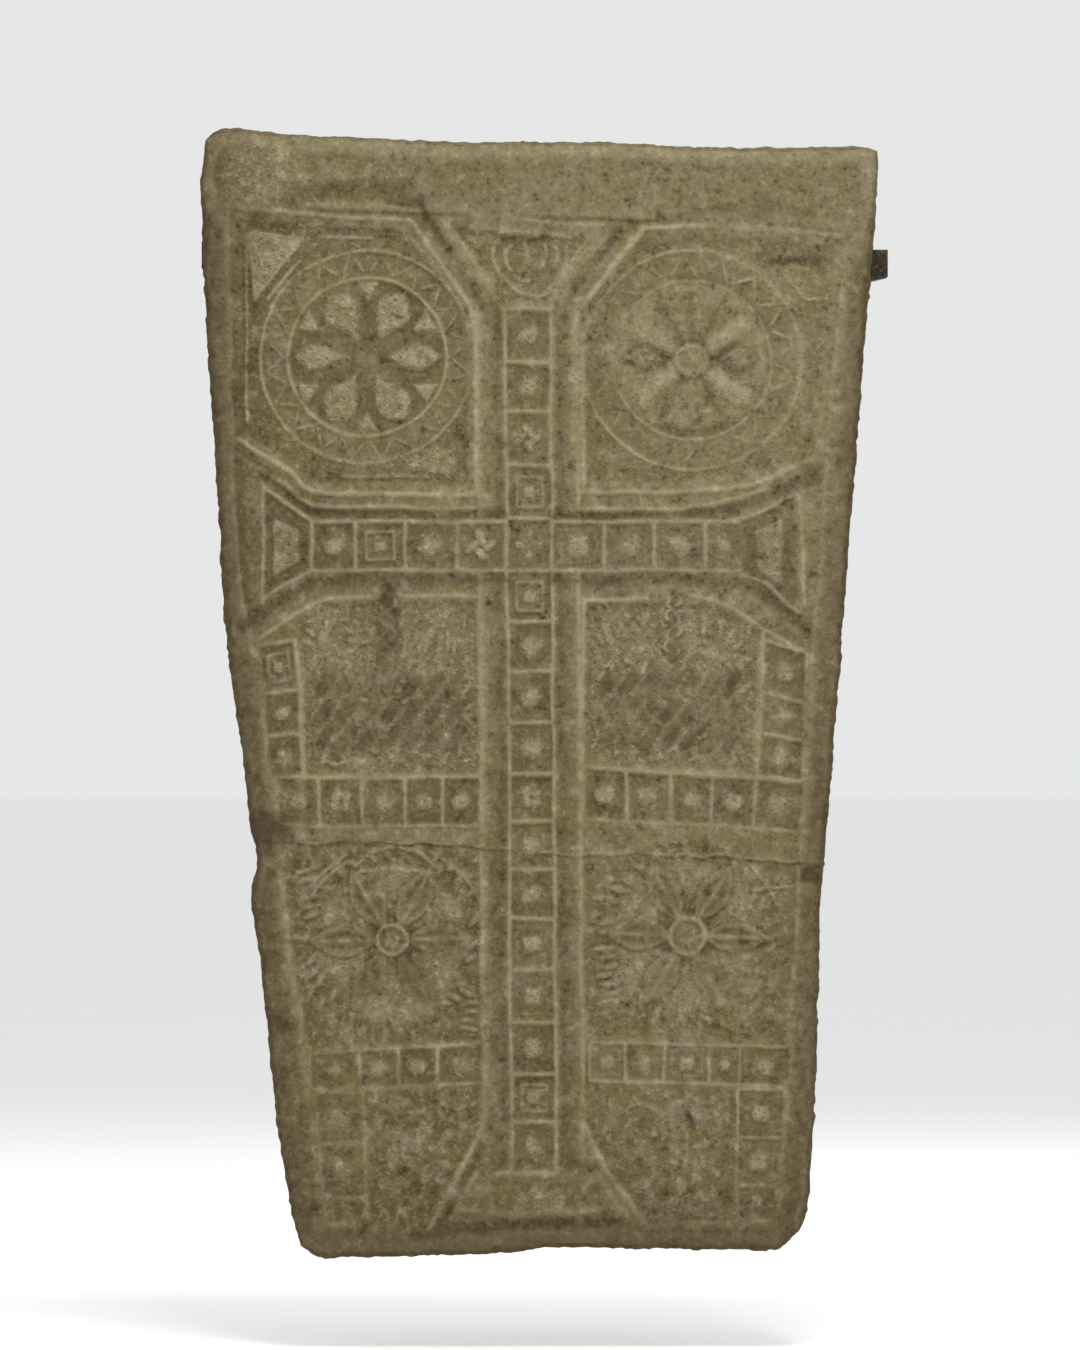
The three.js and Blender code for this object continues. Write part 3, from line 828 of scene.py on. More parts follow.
@dataclass
class WornMedallion(Medallion):
    """The rubbed round panel on the right, with a ringed hub and two sunk eye-shaped leaves."""

    def wheel(self, canvas: Canvas) -> None:
        """Broad worn arms round a ringed hub, with one deep leaf on each side."""
        disc = arc(self.centre, self.inner - 5, 0, 350, 35)
        canvas.bring_to(disc, self.floor + 2.6, 9, pecked=0.3)
        for angle, reach in ((3, 92), (177, 92)):
            leaf = placed(lens(26, reach, 21, 1.1), self.centre, angle)
            # the sunk leaf is painted darker: dirt and painted shade
            canvas.bring_to(leaf, self.floor - 1.0, 7, dusky=0.4)
            core = placed(lens(36, reach - 3, 14, 1.2), self.centre, angle)
            canvas.bring_to(core, self.floor + 1.6, 5, pecked=0.9, pale=0.4)
        for angle in (35, 145, 215, 325):
            arm = placed([(24, -5), (90, -15), (90, 15), (24, 5)], self.centre, angle)
            canvas.bring_to(arm, self.floor + 4.4, 9, pale=0.35)
        for angle in (62, 90, 118, 242, 298):
            root, tip = placed([(26, 0), (88, 0)], self.centre, angle)
            canvas.groove([root, tip], 8, 1.8, 0.4)
        canvas.groove(arc(self.centre, self.inner - 10, 248, 300, 12), 9, 2.0, 0.6)
        canvas.groove(arc(self.centre, self.inner + 3, 20, 100, 16), 5, 1.4, 0.5)
        hub = arc(self.centre, self.hub, 0, 350, 35)
        canvas.bring_to(hub, self.floor + 3.4, 4)
        canvas.crest([*hub, hub[0]], 1.9, self.floor + 5.6, 0.55)
        canvas.groove(arc(self.centre, self.hub + 6, 0, 360, 24), 5, 1.4, 0.35)
        canvas.bring_to(arc(self.centre, 5, 0, 330, 11), self.floor + 5, 3)


@dataclass
class LowerPanels:
    """The two panels below the crossbar: frames, jewelled strips, and rows of strokes under a chain."""

    left_field: Path = ((-320, 98), (-288, 118), (-228, 120), (-172, 121), (-86, 121), (-86, -104),
                        (-310, -104), (-318, -9))
    right_field: Path = ((63, 118), (139, 118), (228, 118), (256, 104), (290, 78), (280, -104), (60, -92))
    spans: tuple[tuple[float, float], ...] = ((-288, -114), (90, 254))
    rows: tuple[float, ...] = (12, -24, -60)
    strokes_per_row: int = 7
    stroke_lean: float = 55.0
    stroke_half_width: float = 7.5

    def carve(self, canvas: Canvas) -> list[Motif]:
        """Sinks the fields, frames them, and carves the strips, the chains and the rows of strokes.

        Args:
            canvas: The face to carve.

        Returns:
            The stamped motifs of the jewels, the links and the feathering.
        """
        for outline in (self.left_field, self.right_field):
            canvas.bring_to(outline, FIELD, 7, pecked=0.75, pale=0.26)
        motifs = self.strips(canvas)
        frames = (
            ([(-388, 64), (-348, 91), (-308, 115), (-288, 126), (-250, 127), (-228, 127)], 0.75),
            ([(-181, 128), (-79, 128), (-77, 0), (-79, -112)], 0.7),
            ([(-328, 71), (-321, -9), (-315, -103)], 0.6),
            ([(55, -92), (56, 40), (58, 124), (139, 124)], 0.7),
            ([(199, 131), (232, 124), (259, 111), (297, 84), (345, 56)], 0.55),
            ([(297, 83), (293, -10), (288, -112)], 0.6),
        )
        for path, light in frames:
            canvas.crest(path, 2.8, CREST - 0.4, light)
        canvas.bring_to([(-350, -182), (-84, -182), (-84, -198), (-350, -196)], -2.6, 6)
        canvas.mark(canvas.dusky, [(-372, -163), (-330, -170), (-330, -198), (-390, -198)], 1.0, 22)
        motifs += self.chain(canvas, -204, 124, 42, 15.0) + self.chain(canvas, 176, 128, 46, 7.0)
        self.strokes(canvas)
        return motifs + self.feathering(canvas)

    def strips(self, canvas: Canvas) -> list[Motif]:
        """The jewelled strips down the outer sides and along the feet of both panels."""
        runs = (
            CellRun(((-378, 62), (-360, -112)), ((-328, 71), (-316, -112)), (62, 1, -52, -105),
                    (Gem.FRAMED, Gem.BLOB, Gem.WORN)),
            CellRun(((-353, -112), (-82, -112)), ((-350, -177), (-82, -177)),
                    (-353, -297, -239, -181, -132, -82),
                    (Gem.BLOB, Gem.LOBED, Gem.DIAMOND, Gem.WORN, Gem.BLOB)),
            CellRun(((297, 70), (287, -112)), ((354, 52), (348, -116)), (70, -3, -59, -119),
                    (Gem.BLOB, Gem.DIAMOND, Gem.STAR), CELL, 0.5),
            CellRun(((56, -100), (350, -118)), ((57, -167), (344, -184)), (56, 113, 173, 227, 285, 348),
                    (Gem.BLOB, Gem.WORN, Gem.STAR, Gem.BLOB, Gem.WORN), CELL, 0.55),
        )
        return [motif for run in runs for motif in run.carve(canvas)]

    def smooth_stroke(self, canvas: Canvas, path: Path, half_width: float) -> None:
        """A smooth dark stroke, standing a little proud of the pecked field."""
        here = canvas.near(path, half_width + 8)
        away = distance_to(canvas.x[here], canvas.z[here], path)
        share = step_smoothly((half_width + 2 - away) / 4)
        # painted highlight: a pale ring just outside the stroke's edge
        rim = step_smoothly(1 - np.abs(away - half_width - 4.5) / 4)
        canvas.pale[here] = np.maximum(canvas.pale[here], 0.5 * rim * canvas.kept[here])
        top = FIELD + 2.8 + 1.5 * (1 - np.clip(away / half_width, 0, 1) ** 2)
        canvas.level[here] = mix(canvas.level[here], np.maximum(canvas.level[here], top), share)
        canvas.dusky[here] = np.maximum(canvas.dusky[here], share)
        canvas.pecked[here] *= 1 - share
        canvas.pale[here] *= 1 - share

    def chain(self, canvas: Canvas, x: float, top: float, foot: float, strip: float) -> list[Motif]:
        """Curled links one below another, on a dark strip.

        Args:
            canvas: The face to carve.
            x: The chain's middle.
            top: Its upper end.
            foot: Its lower end.
            strip: Half the width of the strip.

        Returns:
            The rings in the links.
        """
        self.smooth_stroke(canvas, [(x, top + 12), (x, mix(top, foot, 0.3))], strip * 0.6)
        self.smooth_stroke(canvas, [(x, mix(top, foot, 0.3)), (x, foot)], strip)
        heights = np.linspace(top + 6, foot + 2, 25)
        for phase, reach in ((0.0, 11.0), (2.2, 8.0)):
            curl = [(x + reach * math.sin(phase + i * 0.55), z) for i, z in enumerate(heights)]
            canvas.crest(curl, 2.0, FIELD + 6.4, 0.9)
            # painted highlight along each curl, and a painted shadow offset below and to its right
            canvas.streak(canvas.pale, curl, 3.6, 0.7)
            canvas.streak(canvas.dusky, [(u + 5.5, z - 2) for u, z in curl], 4.0, 0.75)
        links = np.linspace(top - 10, foot + 10, 4)
        return [Motif(Form.RING, (x + (3 if i % 2 else -3), z), 15, 13, 3.0, FIELD + 4.2)
                for i, z in enumerate(links)]

    def strokes(self, canvas: Canvas) -> None:
        """Rows of short shallow strokes, all leaning one way."""
        rng = np.random.default_rng(37)
        for span in self.spans:
            for z in self.rows:
                for x in np.linspace(*span, self.strokes_per_row):
                    lean = math.radians(self.stroke_lean) + rng.uniform(-0.08, 0.08)
                    ends = ends_of(x, z, rng.uniform(11.5, 14.0), lean)
                    self.smooth_stroke(canvas, ends, self.stroke_half_width)

    def feathering(self, canvas: Canvas) -> list[Motif]:
        """Fine furrows that spread from a few roots and fill the ground round the rows of strokes."""
        rng = np.random.default_rng(29)
        motifs: list[Motif] = []
        grounds = (
            (self.left_field,
             ((-290, 50), (-256, 0), (-228, 70), (-154, -4), (-110, -20), (-206, -80), (-290, -90))),
            (self.right_field,
             ((104, 50), (84, -20), (112, 0), (150, 60), (228, 50), (258, 0), (170, -90), (250, -60))),
        )
        for outline, roots in grounds:
            xs, zs = zip(*outline)
            for _ in range(240):
                x, z = rng.uniform(min(xs), max(xs)), rng.uniform(min(zs), max(zs))
                depth = depth_inside(np.array([x]), np.array([z]), outline)[0]
                if depth < 9 or self.covered(canvas, x, z):
                    continue
                root = min(roots, key=lambda spot: math.dist(spot, (x, z)))
                lean = math.atan2(z - root[1], x - root[0]) + rng.uniform(-0.45, 0.45)
                if -184 < x < -92 and z > 26:
                    lean = math.pi / 2 + rng.uniform(-0.15, 0.15)
                ends = ends_of(x, z, rng.uniform(7, 13), lean)
                furrowed(canvas, *ends, (-5.0 * math.sin(lean), 5.0 * math.cos(lean)), rng.uniform(0.08, 0.3))
                motifs.append(stroke(*ends, 8.0, rng.uniform(1.2, 3.0), FIELD))
        return motifs

    def covered(self, canvas: Canvas, x: float, z: float) -> bool:
        """Whether a smooth stroke lies over a point of the face."""
        row = int(np.argmin(np.abs(canvas.z[:, canvas.z.shape[1] // 2] - z)))
        column = int(np.argmin(np.abs(canvas.x[row] - x)))
        return bool(canvas.dusky[row, column] > 0.55)


@dataclass
class Rosette:
    """A flower of six pointed petals in a wreath of slanting leaves."""

    centre: Pair
    wreath: float = 120.0
    petal: float = 106.0
    hub: float = 20.0
    turn: float = 0.0
    leaves: int = 34
    floor: float = FIELD + 1.2

    def carve(self, canvas: Canvas) -> list[Motif]:
        """Cuts the ground, the petals and the ringed hub.

        Args:
            canvas: The face to carve.

        Returns:
            The wreath's leaves.
        """
        ground = arc(self.centre, self.wreath + 8, 0, 350, 35)
        canvas.bring_to(ground, self.floor, 9, pecked=0.55)
        for sixth, kept in enumerate((1.2, 1.3, 1.1, 1.2, 0.9, 0.85)):
            angle = self.turn + 60 * sixth
            lump = placed([(40, 0), (92, -34), (100, 0), (92, 34)], self.centre, angle + 30)
            canvas.bring_to(lump, self.floor + 1.6, 16)
            canvas.mark(canvas.pale, lump, 0.3, 16)
            petal = placed(lens(self.hub, self.petal, 19), self.centre, angle)
            canvas.groove([*petal, petal[0]], 8, 2.2 * kept, 0.3 * kept)
            canvas.bring_to(petal, self.floor + 3.4 * kept, 6)
            canvas.unmark(canvas.pecked, petal)
            canvas.mark(canvas.dusky, petal, 0.24 * kept)
            half = placed(lens(self.hub + 6, self.petal - 10, 9), self.centre, angle)
            canvas.groove([*half, half[0]], 5, 1.5 * kept, 0.4 * kept)
            canvas.crest([*petal, petal[0]], 2.2, self.floor + 4.4 * kept, 0.24 * kept)
            rib = placed([(self.hub, 0), (self.petal * 0.9, 0)], self.centre, angle)
            canvas.crest(rib, 2.8, self.floor + 5.0 * kept, 0.5 * kept)
        disc = arc(self.centre, self.hub, 0, 350, 35)
        canvas.bring_to(disc, self.floor + 4.4, 4)
        canvas.crest([*disc, disc[0]], 2.4, self.floor + 6.6, 0.6)
        canvas.groove(arc(self.centre, self.hub + 5, 0, 360, 24), 5, 1.6, 0.4)
        canvas.groove(arc(self.centre, self.hub * 0.72, 0, 360, 24), 4, 1.8, 0.4)
        canvas.crest(arc(self.centre, self.hub * 0.36, 0, 360, 16), 1.8, self.floor + 6.4, 0.45)
        return self.ring_of_leaves(canvas)

    def ring_of_leaves(self, canvas: Canvas) -> list[Motif]:
        """Slanting leaves all round, in two staggered rows."""
        rng = np.random.default_rng(self.leaves)
        motifs = []
        for i in range(self.leaves):
            for radius, lean, length in ((self.wreath - 9, 30, 25), (self.wreath + 8, 16, 21)):
                angle = 360 * (i + rng.uniform(-0.3, 0.3)) / self.leaves
                turn = angle + lean + rng.uniform(-16, 16)
                spot = placed([(radius + rng.uniform(-4, 4), 0)], self.centre, angle)[0]
                root, tip = placed([(-length * 0.42, 0), (length * 0.42, 0)], spot, turn)
                gap = placed([(0, 6.5)], (0, 0), turn)[0]
                furrowed(canvas, root, tip, gap, rng.uniform(0.12, 0.42))
                rise = rng.uniform(1.6, 3.2)
                motifs.append(Motif(Form.DOME, spot, length, 11, rise, self.floor - 0.4, turn))
        return motifs


@dataclass
class MiddlePanels:
    """The two rose panels below the break, their frames and the jewelled rows under them."""

    roses: Sequence[Rosette] = (
        Rosette((-199, -329), turn=1.0),
        Rosette((195, -323), hub=24.0, turn=-2.0, leaves=32),
    )

    def carve(self, canvas: Canvas) -> list[Motif]:
        """Carves both roses and their rows of cells.

        Args:
            canvas: The face to carve.

        Returns:
            The stamped motifs of the leaves and the jewels.
        """
        fields = (
            [(-340, -208), (-84, -214), (-82, -460), (-306, -470), (-326, -380)],
            [(62, -222), (334, -232), (326, -464), (62, -456)],
        )
        motifs: list[Motif] = []
        for outline, rose in zip(fields, self.roses):
            canvas.bring_to(outline, rose.floor + 1.2, 8, pecked=0.4)
            motifs += rose.carve(canvas)
        runs = (
            CellRun(((-308, -480), (-76, -467)), ((-306, -529), (-76, -520)), (-306, -241, -188, -138, -76),
                    (Gem.DIAMOND, Gem.DIAMOND, Gem.BLOB, Gem.WORN), CELL + 1.0, 0.9),
            CellRun(((64, -465), (332, -473)), ((64, -516), (330, -525)), (64, 112, 165, 225, 265, 332),
                    (Gem.SQUARE, Gem.DIAMOND, Gem.SQUARE, Gem.BLOB, Gem.DIAMOND), CELL + 1.8, 0.5),
        )
        for run in runs:
            motifs += run.carve(canvas)
        for path, half_width, light in (
            ([(-72, -212), (-74, -300), (-74, -372)], 3.2, 0.85), ([(-74, -384), (-72, -530)], 2.4, 0.45),
            ([(-250, -232), (-228, -212), (-196, -205), (-160, -212), (-140, -232)], 2.6, 0.4),
            ([(-244, -238), (-196, -236), (-144, -239)], 1.8, 0.3),
            (arc((-199, -329), 128, 12, 66), 2.0, 0.35), (arc((-199, -329), 129, 118, 165), 2.0, 0.35),
            (arc((-199, -329), 121, 120, 160), 1.8, 0.25), (arc((195, -323), 126, 20, 75), 2.0, 0.3),
        ):
            canvas.crest(path, half_width, CREST - 1.6, light)
        mound = [(-250, -420), (-220, -404), (-170, -404), (-136, -424), (-170, -440), (-225, -440)]
        canvas.bring_to(mound, FIELD + 4.0, 16)
        canvas.mark(canvas.pale, mound, 0.4, 14)
        motifs += self.side_leaves(canvas)
        return motifs

    def side_leaves(self, canvas: Canvas) -> list[Motif]:
        """Level leaf strokes in the corners beside the wreaths."""
        motifs = []
        for x, top, foot, lean in ((-312, -236, -300, 12), (84, -340, -430, 6), (-96, -400, -450, -14)):
            for i, z in enumerate(np.arange(top, foot, -12)):
                spot = (x + 4 * (i % 3), z)
                turn = lean + 5 * (i % 4)
                furrowed(canvas, *placed([(-13, 0), (13, 0)], spot, turn), (0, 6), 0.26)
                motifs.append(Motif(Form.DOME, spot, 30, 8.5, 3.0, FIELD + 1.8, turn))
        return motifs


@dataclass
class FootPanels:
    """The worn panels at the foot: two jewelled columns and what is left of a vine."""

    def carve(self, canvas: Canvas) -> list[Motif]:
        """Carves the columns and the rubbed vine.

        Args:
            canvas: The face to carve.

        Returns:
            The stamped motifs of the jewels and of the vine's lumps.
        """
        for outline in ([(-232, -536), (-84, -528), (-86, -590), (-140, -700), (-226, -704)],
                        [(70, -524), (258, -532), (258, -696), (140, -700), (72, -590)]):
            canvas.bring_to(outline, FIELD + 2.6, 9, pecked=0.5)
        runs = (
            CellRun(((-302, -532), (-286, -704)), ((-237, -532), (-232, -704)), (-532, -600, -672, -704),
                    (Gem.WORN, Gem.WORN, Gem.WORN), CELL + 2.0, 0.85),
            CellRun(((262, -528), (262, -700)), ((324, -528), (314, -700)), (-528, -592, -656, -700),
                    (Gem.BLOB, Gem.SQUARE, Gem.WORN), CELL + 2.0, 0.75),
        )
        motifs = [motif for run in runs for motif in run.carve(canvas)]
        for path, half_width in (
            ([(112, -628), (126, -618), (144, -626), (148, -646), (132, -662), (114, -654)], 3.4),
            ([(96, -560), (130, -548), (160, -566), (158, -600), (128, -612), (104, -596)], 3.6),
            ([(176, -548), (214, -544), (238, -566), (228, -598), (192, -604), (176, -584)], 3.6),
            ([(182, -640), (214, -630), (240, -648), (230, -684), (192, -684)], 3.6),
            ([(-214, -552), (-180, -546), (-158, -570), (-172, -600), (-206, -604), (-220, -580)], 3.6),
            ([(-146, -550), (-116, -552), (-100, -576), (-118, -606), (-148, -598)], 3.4),
            ([(-214, -640), (-188, -626), (-160, -640), (-160, -672), (-190, -690)], 3.4),
        ):
            canvas.crest(rounded([*path, path[0]]), half_width, FIELD + 4.8, 0.2)
        for path in ([(-208, -606), (-214, -626), (-206, -646)], [(-180, -628), (-190, -646), (-180, -664)],
                     [(150, -596), (168, -597)], [(196, -560), (204, -580)]):
            canvas.groove(rounded(path), 9, 2.0, 0.5)
        rng = np.random.default_rng(41)
        for left, right in ((-228, -100), (84, 252)):
            for _ in range(34):
                spot = (rng.uniform(left, right), rng.uniform(-690, -540))
                size = rng.uniform(12, 30)
                motifs.append(Motif(Form.DOME, spot, size, size * 0.6, rng.uniform(1.4, 3.2), FIELD + 2.6,
                                    rng.uniform(0, 180)))
        for x in range(-282, -180, 24):
            arch = [(x - 11, -738), (x - 8, -706), (x, -690), (x + 8, -706), (x + 11, -738)]
            canvas.crest(rounded(arch), 2.6, 0.4, 0.3)
        return motifs


@dataclass
class Losses:
    """The break across the middle, flakes, chips and stains."""

    break_line: Path = ((-392, -190), (-350, -197), (-311, -200), (-255, -196), (-190, -200), (-128, -200),
                        (-39, -208), (48, -216), (124, -213), (200, -218), (244, -217), (345, -225),
                        (384, -232))
    stains: Sequence[tuple[Pair, float, float]] = (
        ((-372, -180), 34, 1.0), ((-352, -176), 26, 0.9), ((-401, -178), 24, 1.0), ((356, -242), 22, 0.5),
        ((-158, 655), 16, 0.9), ((297, 646), 30, 0.5), ((352, 300), 26, 0.35), ((-262, 470), 26, 0.25),
        ((-400, 560), 26, 0.35), ((-344, -440), 30, 0.4), ((368, 300), 22, 0.5),
    )

    def carve(self, canvas: Canvas) -> list[Motif]:
        """Cuts the break and the flakes and lays the stains.

        Args:
            canvas: The face to carve.

        Returns:
            No motifs.
        """
        seam = [(x, z + 1.6 * math.sin(x * 0.11)) for x, z in rounded(self.break_line, 5)]
        # painted shadow: the grooves just under the pale mortar line are darkened
        canvas.groove([(x, z - 4) for x, z in seam], 5, 1.4, 0.3)
        canvas.crest(seam, 1.9, -1.6, 0.85)
        canvas.groove([(x, z - 2.6) for x, z in seam], 2.4, 2.6, 0.25)
        flake = [(345, -231), (369, -232), (370, -254), (345, -252)]
        canvas.bring_to(flake, -5, 6)
        canvas.mark(canvas.dusky, flake, 0.6, 9)
        canvas.crest(rounded([(281, -261), (345, -257), (369, -264)]), 2.0, -1.6, 0.5)
        for spot, radius, amount in self.stains:
            canvas.mark(canvas.dusky, arc(spot, radius * 0.6, 0, 340, 17), amount, radius)
        return []


# ---- the slab ----


@dataclass
class SlabGrid:
    """The grid that the slab's surface is laid on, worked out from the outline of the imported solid."""

    columns: int
    rows: int
    section: float = 95.0
    back_taper: float = 12.0
    side_levels: Sequence[float] = (104, 101, 97, 92, 86, 79, 71, 62, 53, 44, 35, 26, 18, 11, 5, 1.5)
    coarse: int = 4
    roughness: float = 1.9

    def outline(self) -> np.ndarray:
        """The slab's outline as a closed loop, where the solid is widest."""
        solid = bmesh.new()
        solid.from_mesh(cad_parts[SLAB_NODE].data)
        bmesh.ops.remove_doubles(solid, verts=solid.verts, dist=1e-6)
        cut = bmesh.ops.bisect_plane(solid, geom=[*solid.verts, *solid.edges, *solid.faces], dist=1e-7,
                                     plane_co=(0, -self.section * MM, 0), plane_no=(0, 1, 0))
        edges = {e for e in cut["geom_cut"] if isinstance(e, bmesh.types.BMEdge)}
        vertex = next(iter(sorted(edges, key=lambda e: e.index))).verts[0]
        loop = []
        while edges:
            edge = next((e for e in vertex.link_edges if e in edges), None)
            if edge is None:
                break
            edges.discard(edge)
            loop.append((vertex.co.x / MM, vertex.co.z / MM))
            vertex = edge.other_vert(vertex)
        solid.free()
        return np.array(loop)

    def sides(self) -> tuple[np.ndarray, ...]:
        """The foot, top, left and right edges, each with evenly spaced points."""
        loop = self.outline()
        area = np.sum(loop[:, 0] * np.roll(loop[:, 1], -1) - loop[:, 1] * np.roll(loop[:, 0], -1))
        loop = loop if area > 0 else loop[::-1]
        leaning = [int(np.argmax(loop @ way)) for way in ((-1.3, -1), (1.3, -1), (1.3, 1), (-1.3, 1))]
        loop = np.roll(loop, -leaning[0], axis=0)
        corners = [(i - leaning[0]) % len(loop) for i in leaning] + [len(loop)]
        closed = np.vstack([loop, loop[:1]])
        counts = (self.columns, self.rows, self.columns, self.rows)
        foot, right, top, left = (
            self.evened(closed[start : end + 1], count)
            for start, end, count in zip(corners, corners[1:], counts)
        )
        return foot, top[::-1], left[::-1], right

    def evened(self, side: np.ndarray, count: int) -> np.ndarray:
        """A side with evenly spaced points and its bends softened and roughened."""
        walked = np.concatenate([[0], np.cumsum(np.hypot(*np.diff(side, axis=0).T))])
        stops = np.linspace(0, walked[-1], count + 1)
        points = np.stack([np.interp(stops, walked, side[:, axis]) for axis in (0, 1)], axis=1)
        reach = max(int(12 / (walked[-1] / count)), 1)
        for _ in range(2):
            padded = np.pad(points, ((reach, reach), (0, 0)), mode="reflect", reflect_type="odd")
            sums = np.cumsum(np.vstack([np.zeros((1, 2)), padded]), axis=0)
            width = 2 * reach + 1
            points = (sums[width:] - sums[:-width]) / width
        along = np.gradient(points, axis=0)
        along /= np.linalg.norm(along, axis=1)[:, None]
        rough = fractal_noise(points[:, 0], points[:, 1], 26, 71, 3)
        rough += 0.7 * value_noise(points[:, 0], points[:, 1], 6, 76)
        ease = np.minimum(np.minimum(np.arange(count + 1), np.arange(count + 1)[::-1]) / 12, 1)
        inward = np.stack([-along[:, 1], along[:, 0]], axis=1)
        return points + inward * ((0.6 + rough) * self.roughness * ease)[:, None]

    def patch(self, foot: np.ndarray, top: np.ndarray, left: np.ndarray, right: np.ndarray) -> np.ndarray:
        """A grid stretched between four edges."""
        u = np.linspace(0, 1, len(foot))[None, :, None]
        v = np.linspace(0, 1, len(left))[:, None, None]
        upright = mix(foot[None], top[None], v)
        level = mix(left[:, None], right[:, None], u)
        corners = mix(mix(foot[0], foot[-1], u), mix(top[0], top[-1], u), v)
        return upright + level - corners


@dataclass(frozen=True)
class Rounding:
    """How the face rolls over into the sides."""

    start: float = 104.0
    width: float = 31.0

    def drop(self, x: np.ndarray, z: np.ndarray, edge: np.ndarray, face: float) -> np.ndarray:
        """How far below the face each point lies because of the worn arris.

        Args:
            x: The points' x.
            z: The points' z.
            edge: Their distance from the outline.
            face: The face's level.

        Returns:
            The drop in millimetres, nothing away from the edge.
        """
        upper = step_smoothly((z - 600) / 100)
        width = self.width * (1 - 0.5 * upper) * (1 + 0.4 * fractal_noise(x, z, 60, 51))
        share = np.clip(1 - edge / width, 0, 1)
        roll = (face - self.start) * (1 - np.sqrt(np.clip(1 - share**2, 0, 1)))
        chips = np.clip(fractal_noise(x, z, 26, 57) - 0.22, 0, 1) * 9 * step_smoothly(1 - edge / 20)
        return roll + chips


def mesh_of(name: str, points: np.ndarray, faces: Iterable[np.ndarray]) -> bpy.types.Mesh:
    """A mesh from arrays of points and of faces.

    Args:
        name: The mesh's name.
        points: The points, in metres.
        faces: One array of corner indices for the quads and one for the triangles.

    Returns:
        The mesh.
    """
    blocks = [block for block in faces if len(block)]
    sizes = np.concatenate([np.full(len(block), block.shape[1]) for block in blocks])
    corners = np.concatenate([block.ravel() for block in blocks])
    mesh = bpy.data.meshes.new(name)
    mesh.vertices.add(len(points))
    mesh.vertices.foreach_set("co", np.asarray(points, np.float32).ravel())
    mesh.loops.add(len(corners))
    mesh.loops.foreach_set("vertex_index", corners.astype(np.int32))
    mesh.polygons.add(len(sizes))
    mesh.polygons.foreach_set("loop_start", np.concatenate([[0], np.cumsum(sizes)[:-1]]).astype(np.int32))
    mesh.update(calc_edges=True)
    mesh.validate()
    return mesh


def linked(name: str, data: bpy.types.ID) -> bpy.types.Object:
    """A new object in the scene that shows a mesh, a light or a camera."""
    made = bpy.data.objects.new(name, data)
    bpy.context.scene.collection.objects.link(made)
    return made


def applied(thing: bpy.types.Object) -> bpy.types.Mesh:
    """The mesh that an object's modifiers give, with the modifiers then removed."""
    bpy.context.view_layer.update()
    graph = bpy.context.evaluated_depsgraph_get()
    mesh = bpy.data.meshes.new_from_object(thing.evaluated_get(graph), depsgraph=graph)
    thing.modifiers.clear()
    return mesh


def positions(mesh: bpy.types.Mesh) -> np.ndarray:
    """A mesh's points as rows of x, y and z."""
    flat = np.empty(len(mesh.vertices) * 3, np.float32)
    mesh.vertices.foreach_get("co", flat)
    return flat.reshape(-1, 3).astype(float)


# ---- wiring for node trees ----


class Wire:
    """A node's output, which can be used in sums."""

    def __init__(self, bench: Bench, socket: bpy.types.NodeSocket) -> None:
        """Wraps a socket of a node on the bench."""
        self.bench = bench
        self.socket = socket

    def math(self, operation: str, *terms: Wire | float) -> Wire:
        """A Math node on some terms."""
        return self.bench.add("ShaderNodeMath", {"operation": operation}, dict(enumerate(terms)))

    def __add__(self, other: Wire | float) -> Wire:
        """self + other"""
        return self.math("ADD", self, other)

    __radd__ = __add__

    def __sub__(self, other: Wire | float) -> Wire:
        """self - other"""
        return self.math("SUBTRACT", self, other)

    def __rsub__(self, other: float) -> Wire:
        """other - self"""
        return self.math("SUBTRACT", other, self)

    def __mul__(self, other: Wire | float) -> Wire:
        """self * other"""
        return self.math("MULTIPLY", self, other)

    __rmul__ = __mul__

    def held(self) -> Wire:
        """The value kept between 0 and 1."""
        return self.math("MINIMUM", self.math("MAXIMUM", self, 0.0), 1.0)

    def eased(self, start: float, end: float) -> Wire:
        """0 at one value, 1 at another, and smooth between them."""
        return self.bench.add("ShaderNodeMapRange", {"interpolation_type": "SMOOTHSTEP"},
                              {"Value": self, "From Min": start, "From Max": end})


class Bench:
    """A node tree with one way to add any node to it."""

    def __init__(self, tree: bpy.types.NodeTree) -> None:
        """Starts work on a tree."""
        self.tree = tree

    def add(self, kind: str, settings: dict | None = None, values: dict | None = None,
            output: str | int = 0) -> Wire:
        """Adds a node.

        Args:
            kind: The node's type.
            settings: Its own settings, which are set first.
            values: The values or wires of its sockets, by name or number.
            output: Which of its outputs to hand back.

        Returns:
            The output, as a wire.
        """
        node = self.tree.nodes.new(kind)
        for name, value in (settings or {}).items():
            setattr(node, name, value)
        for name, value in (values or {}).items():
            self.plug(node.inputs[name], value)
        return Wire(self, node.outputs[output]) if len(node.outputs) else None

    def plug(self, socket: bpy.types.NodeSocket, value: object) -> None:
        """Links a wire, or several, to a socket, or sets its value."""
        if isinstance(value, Wire):
            self.tree.links.new(value.socket, socket)
        elif isinstance(value, list):
            for wire in value:
                self.tree.links.new(wire.socket, socket)
        else:
            socket.default_value = value


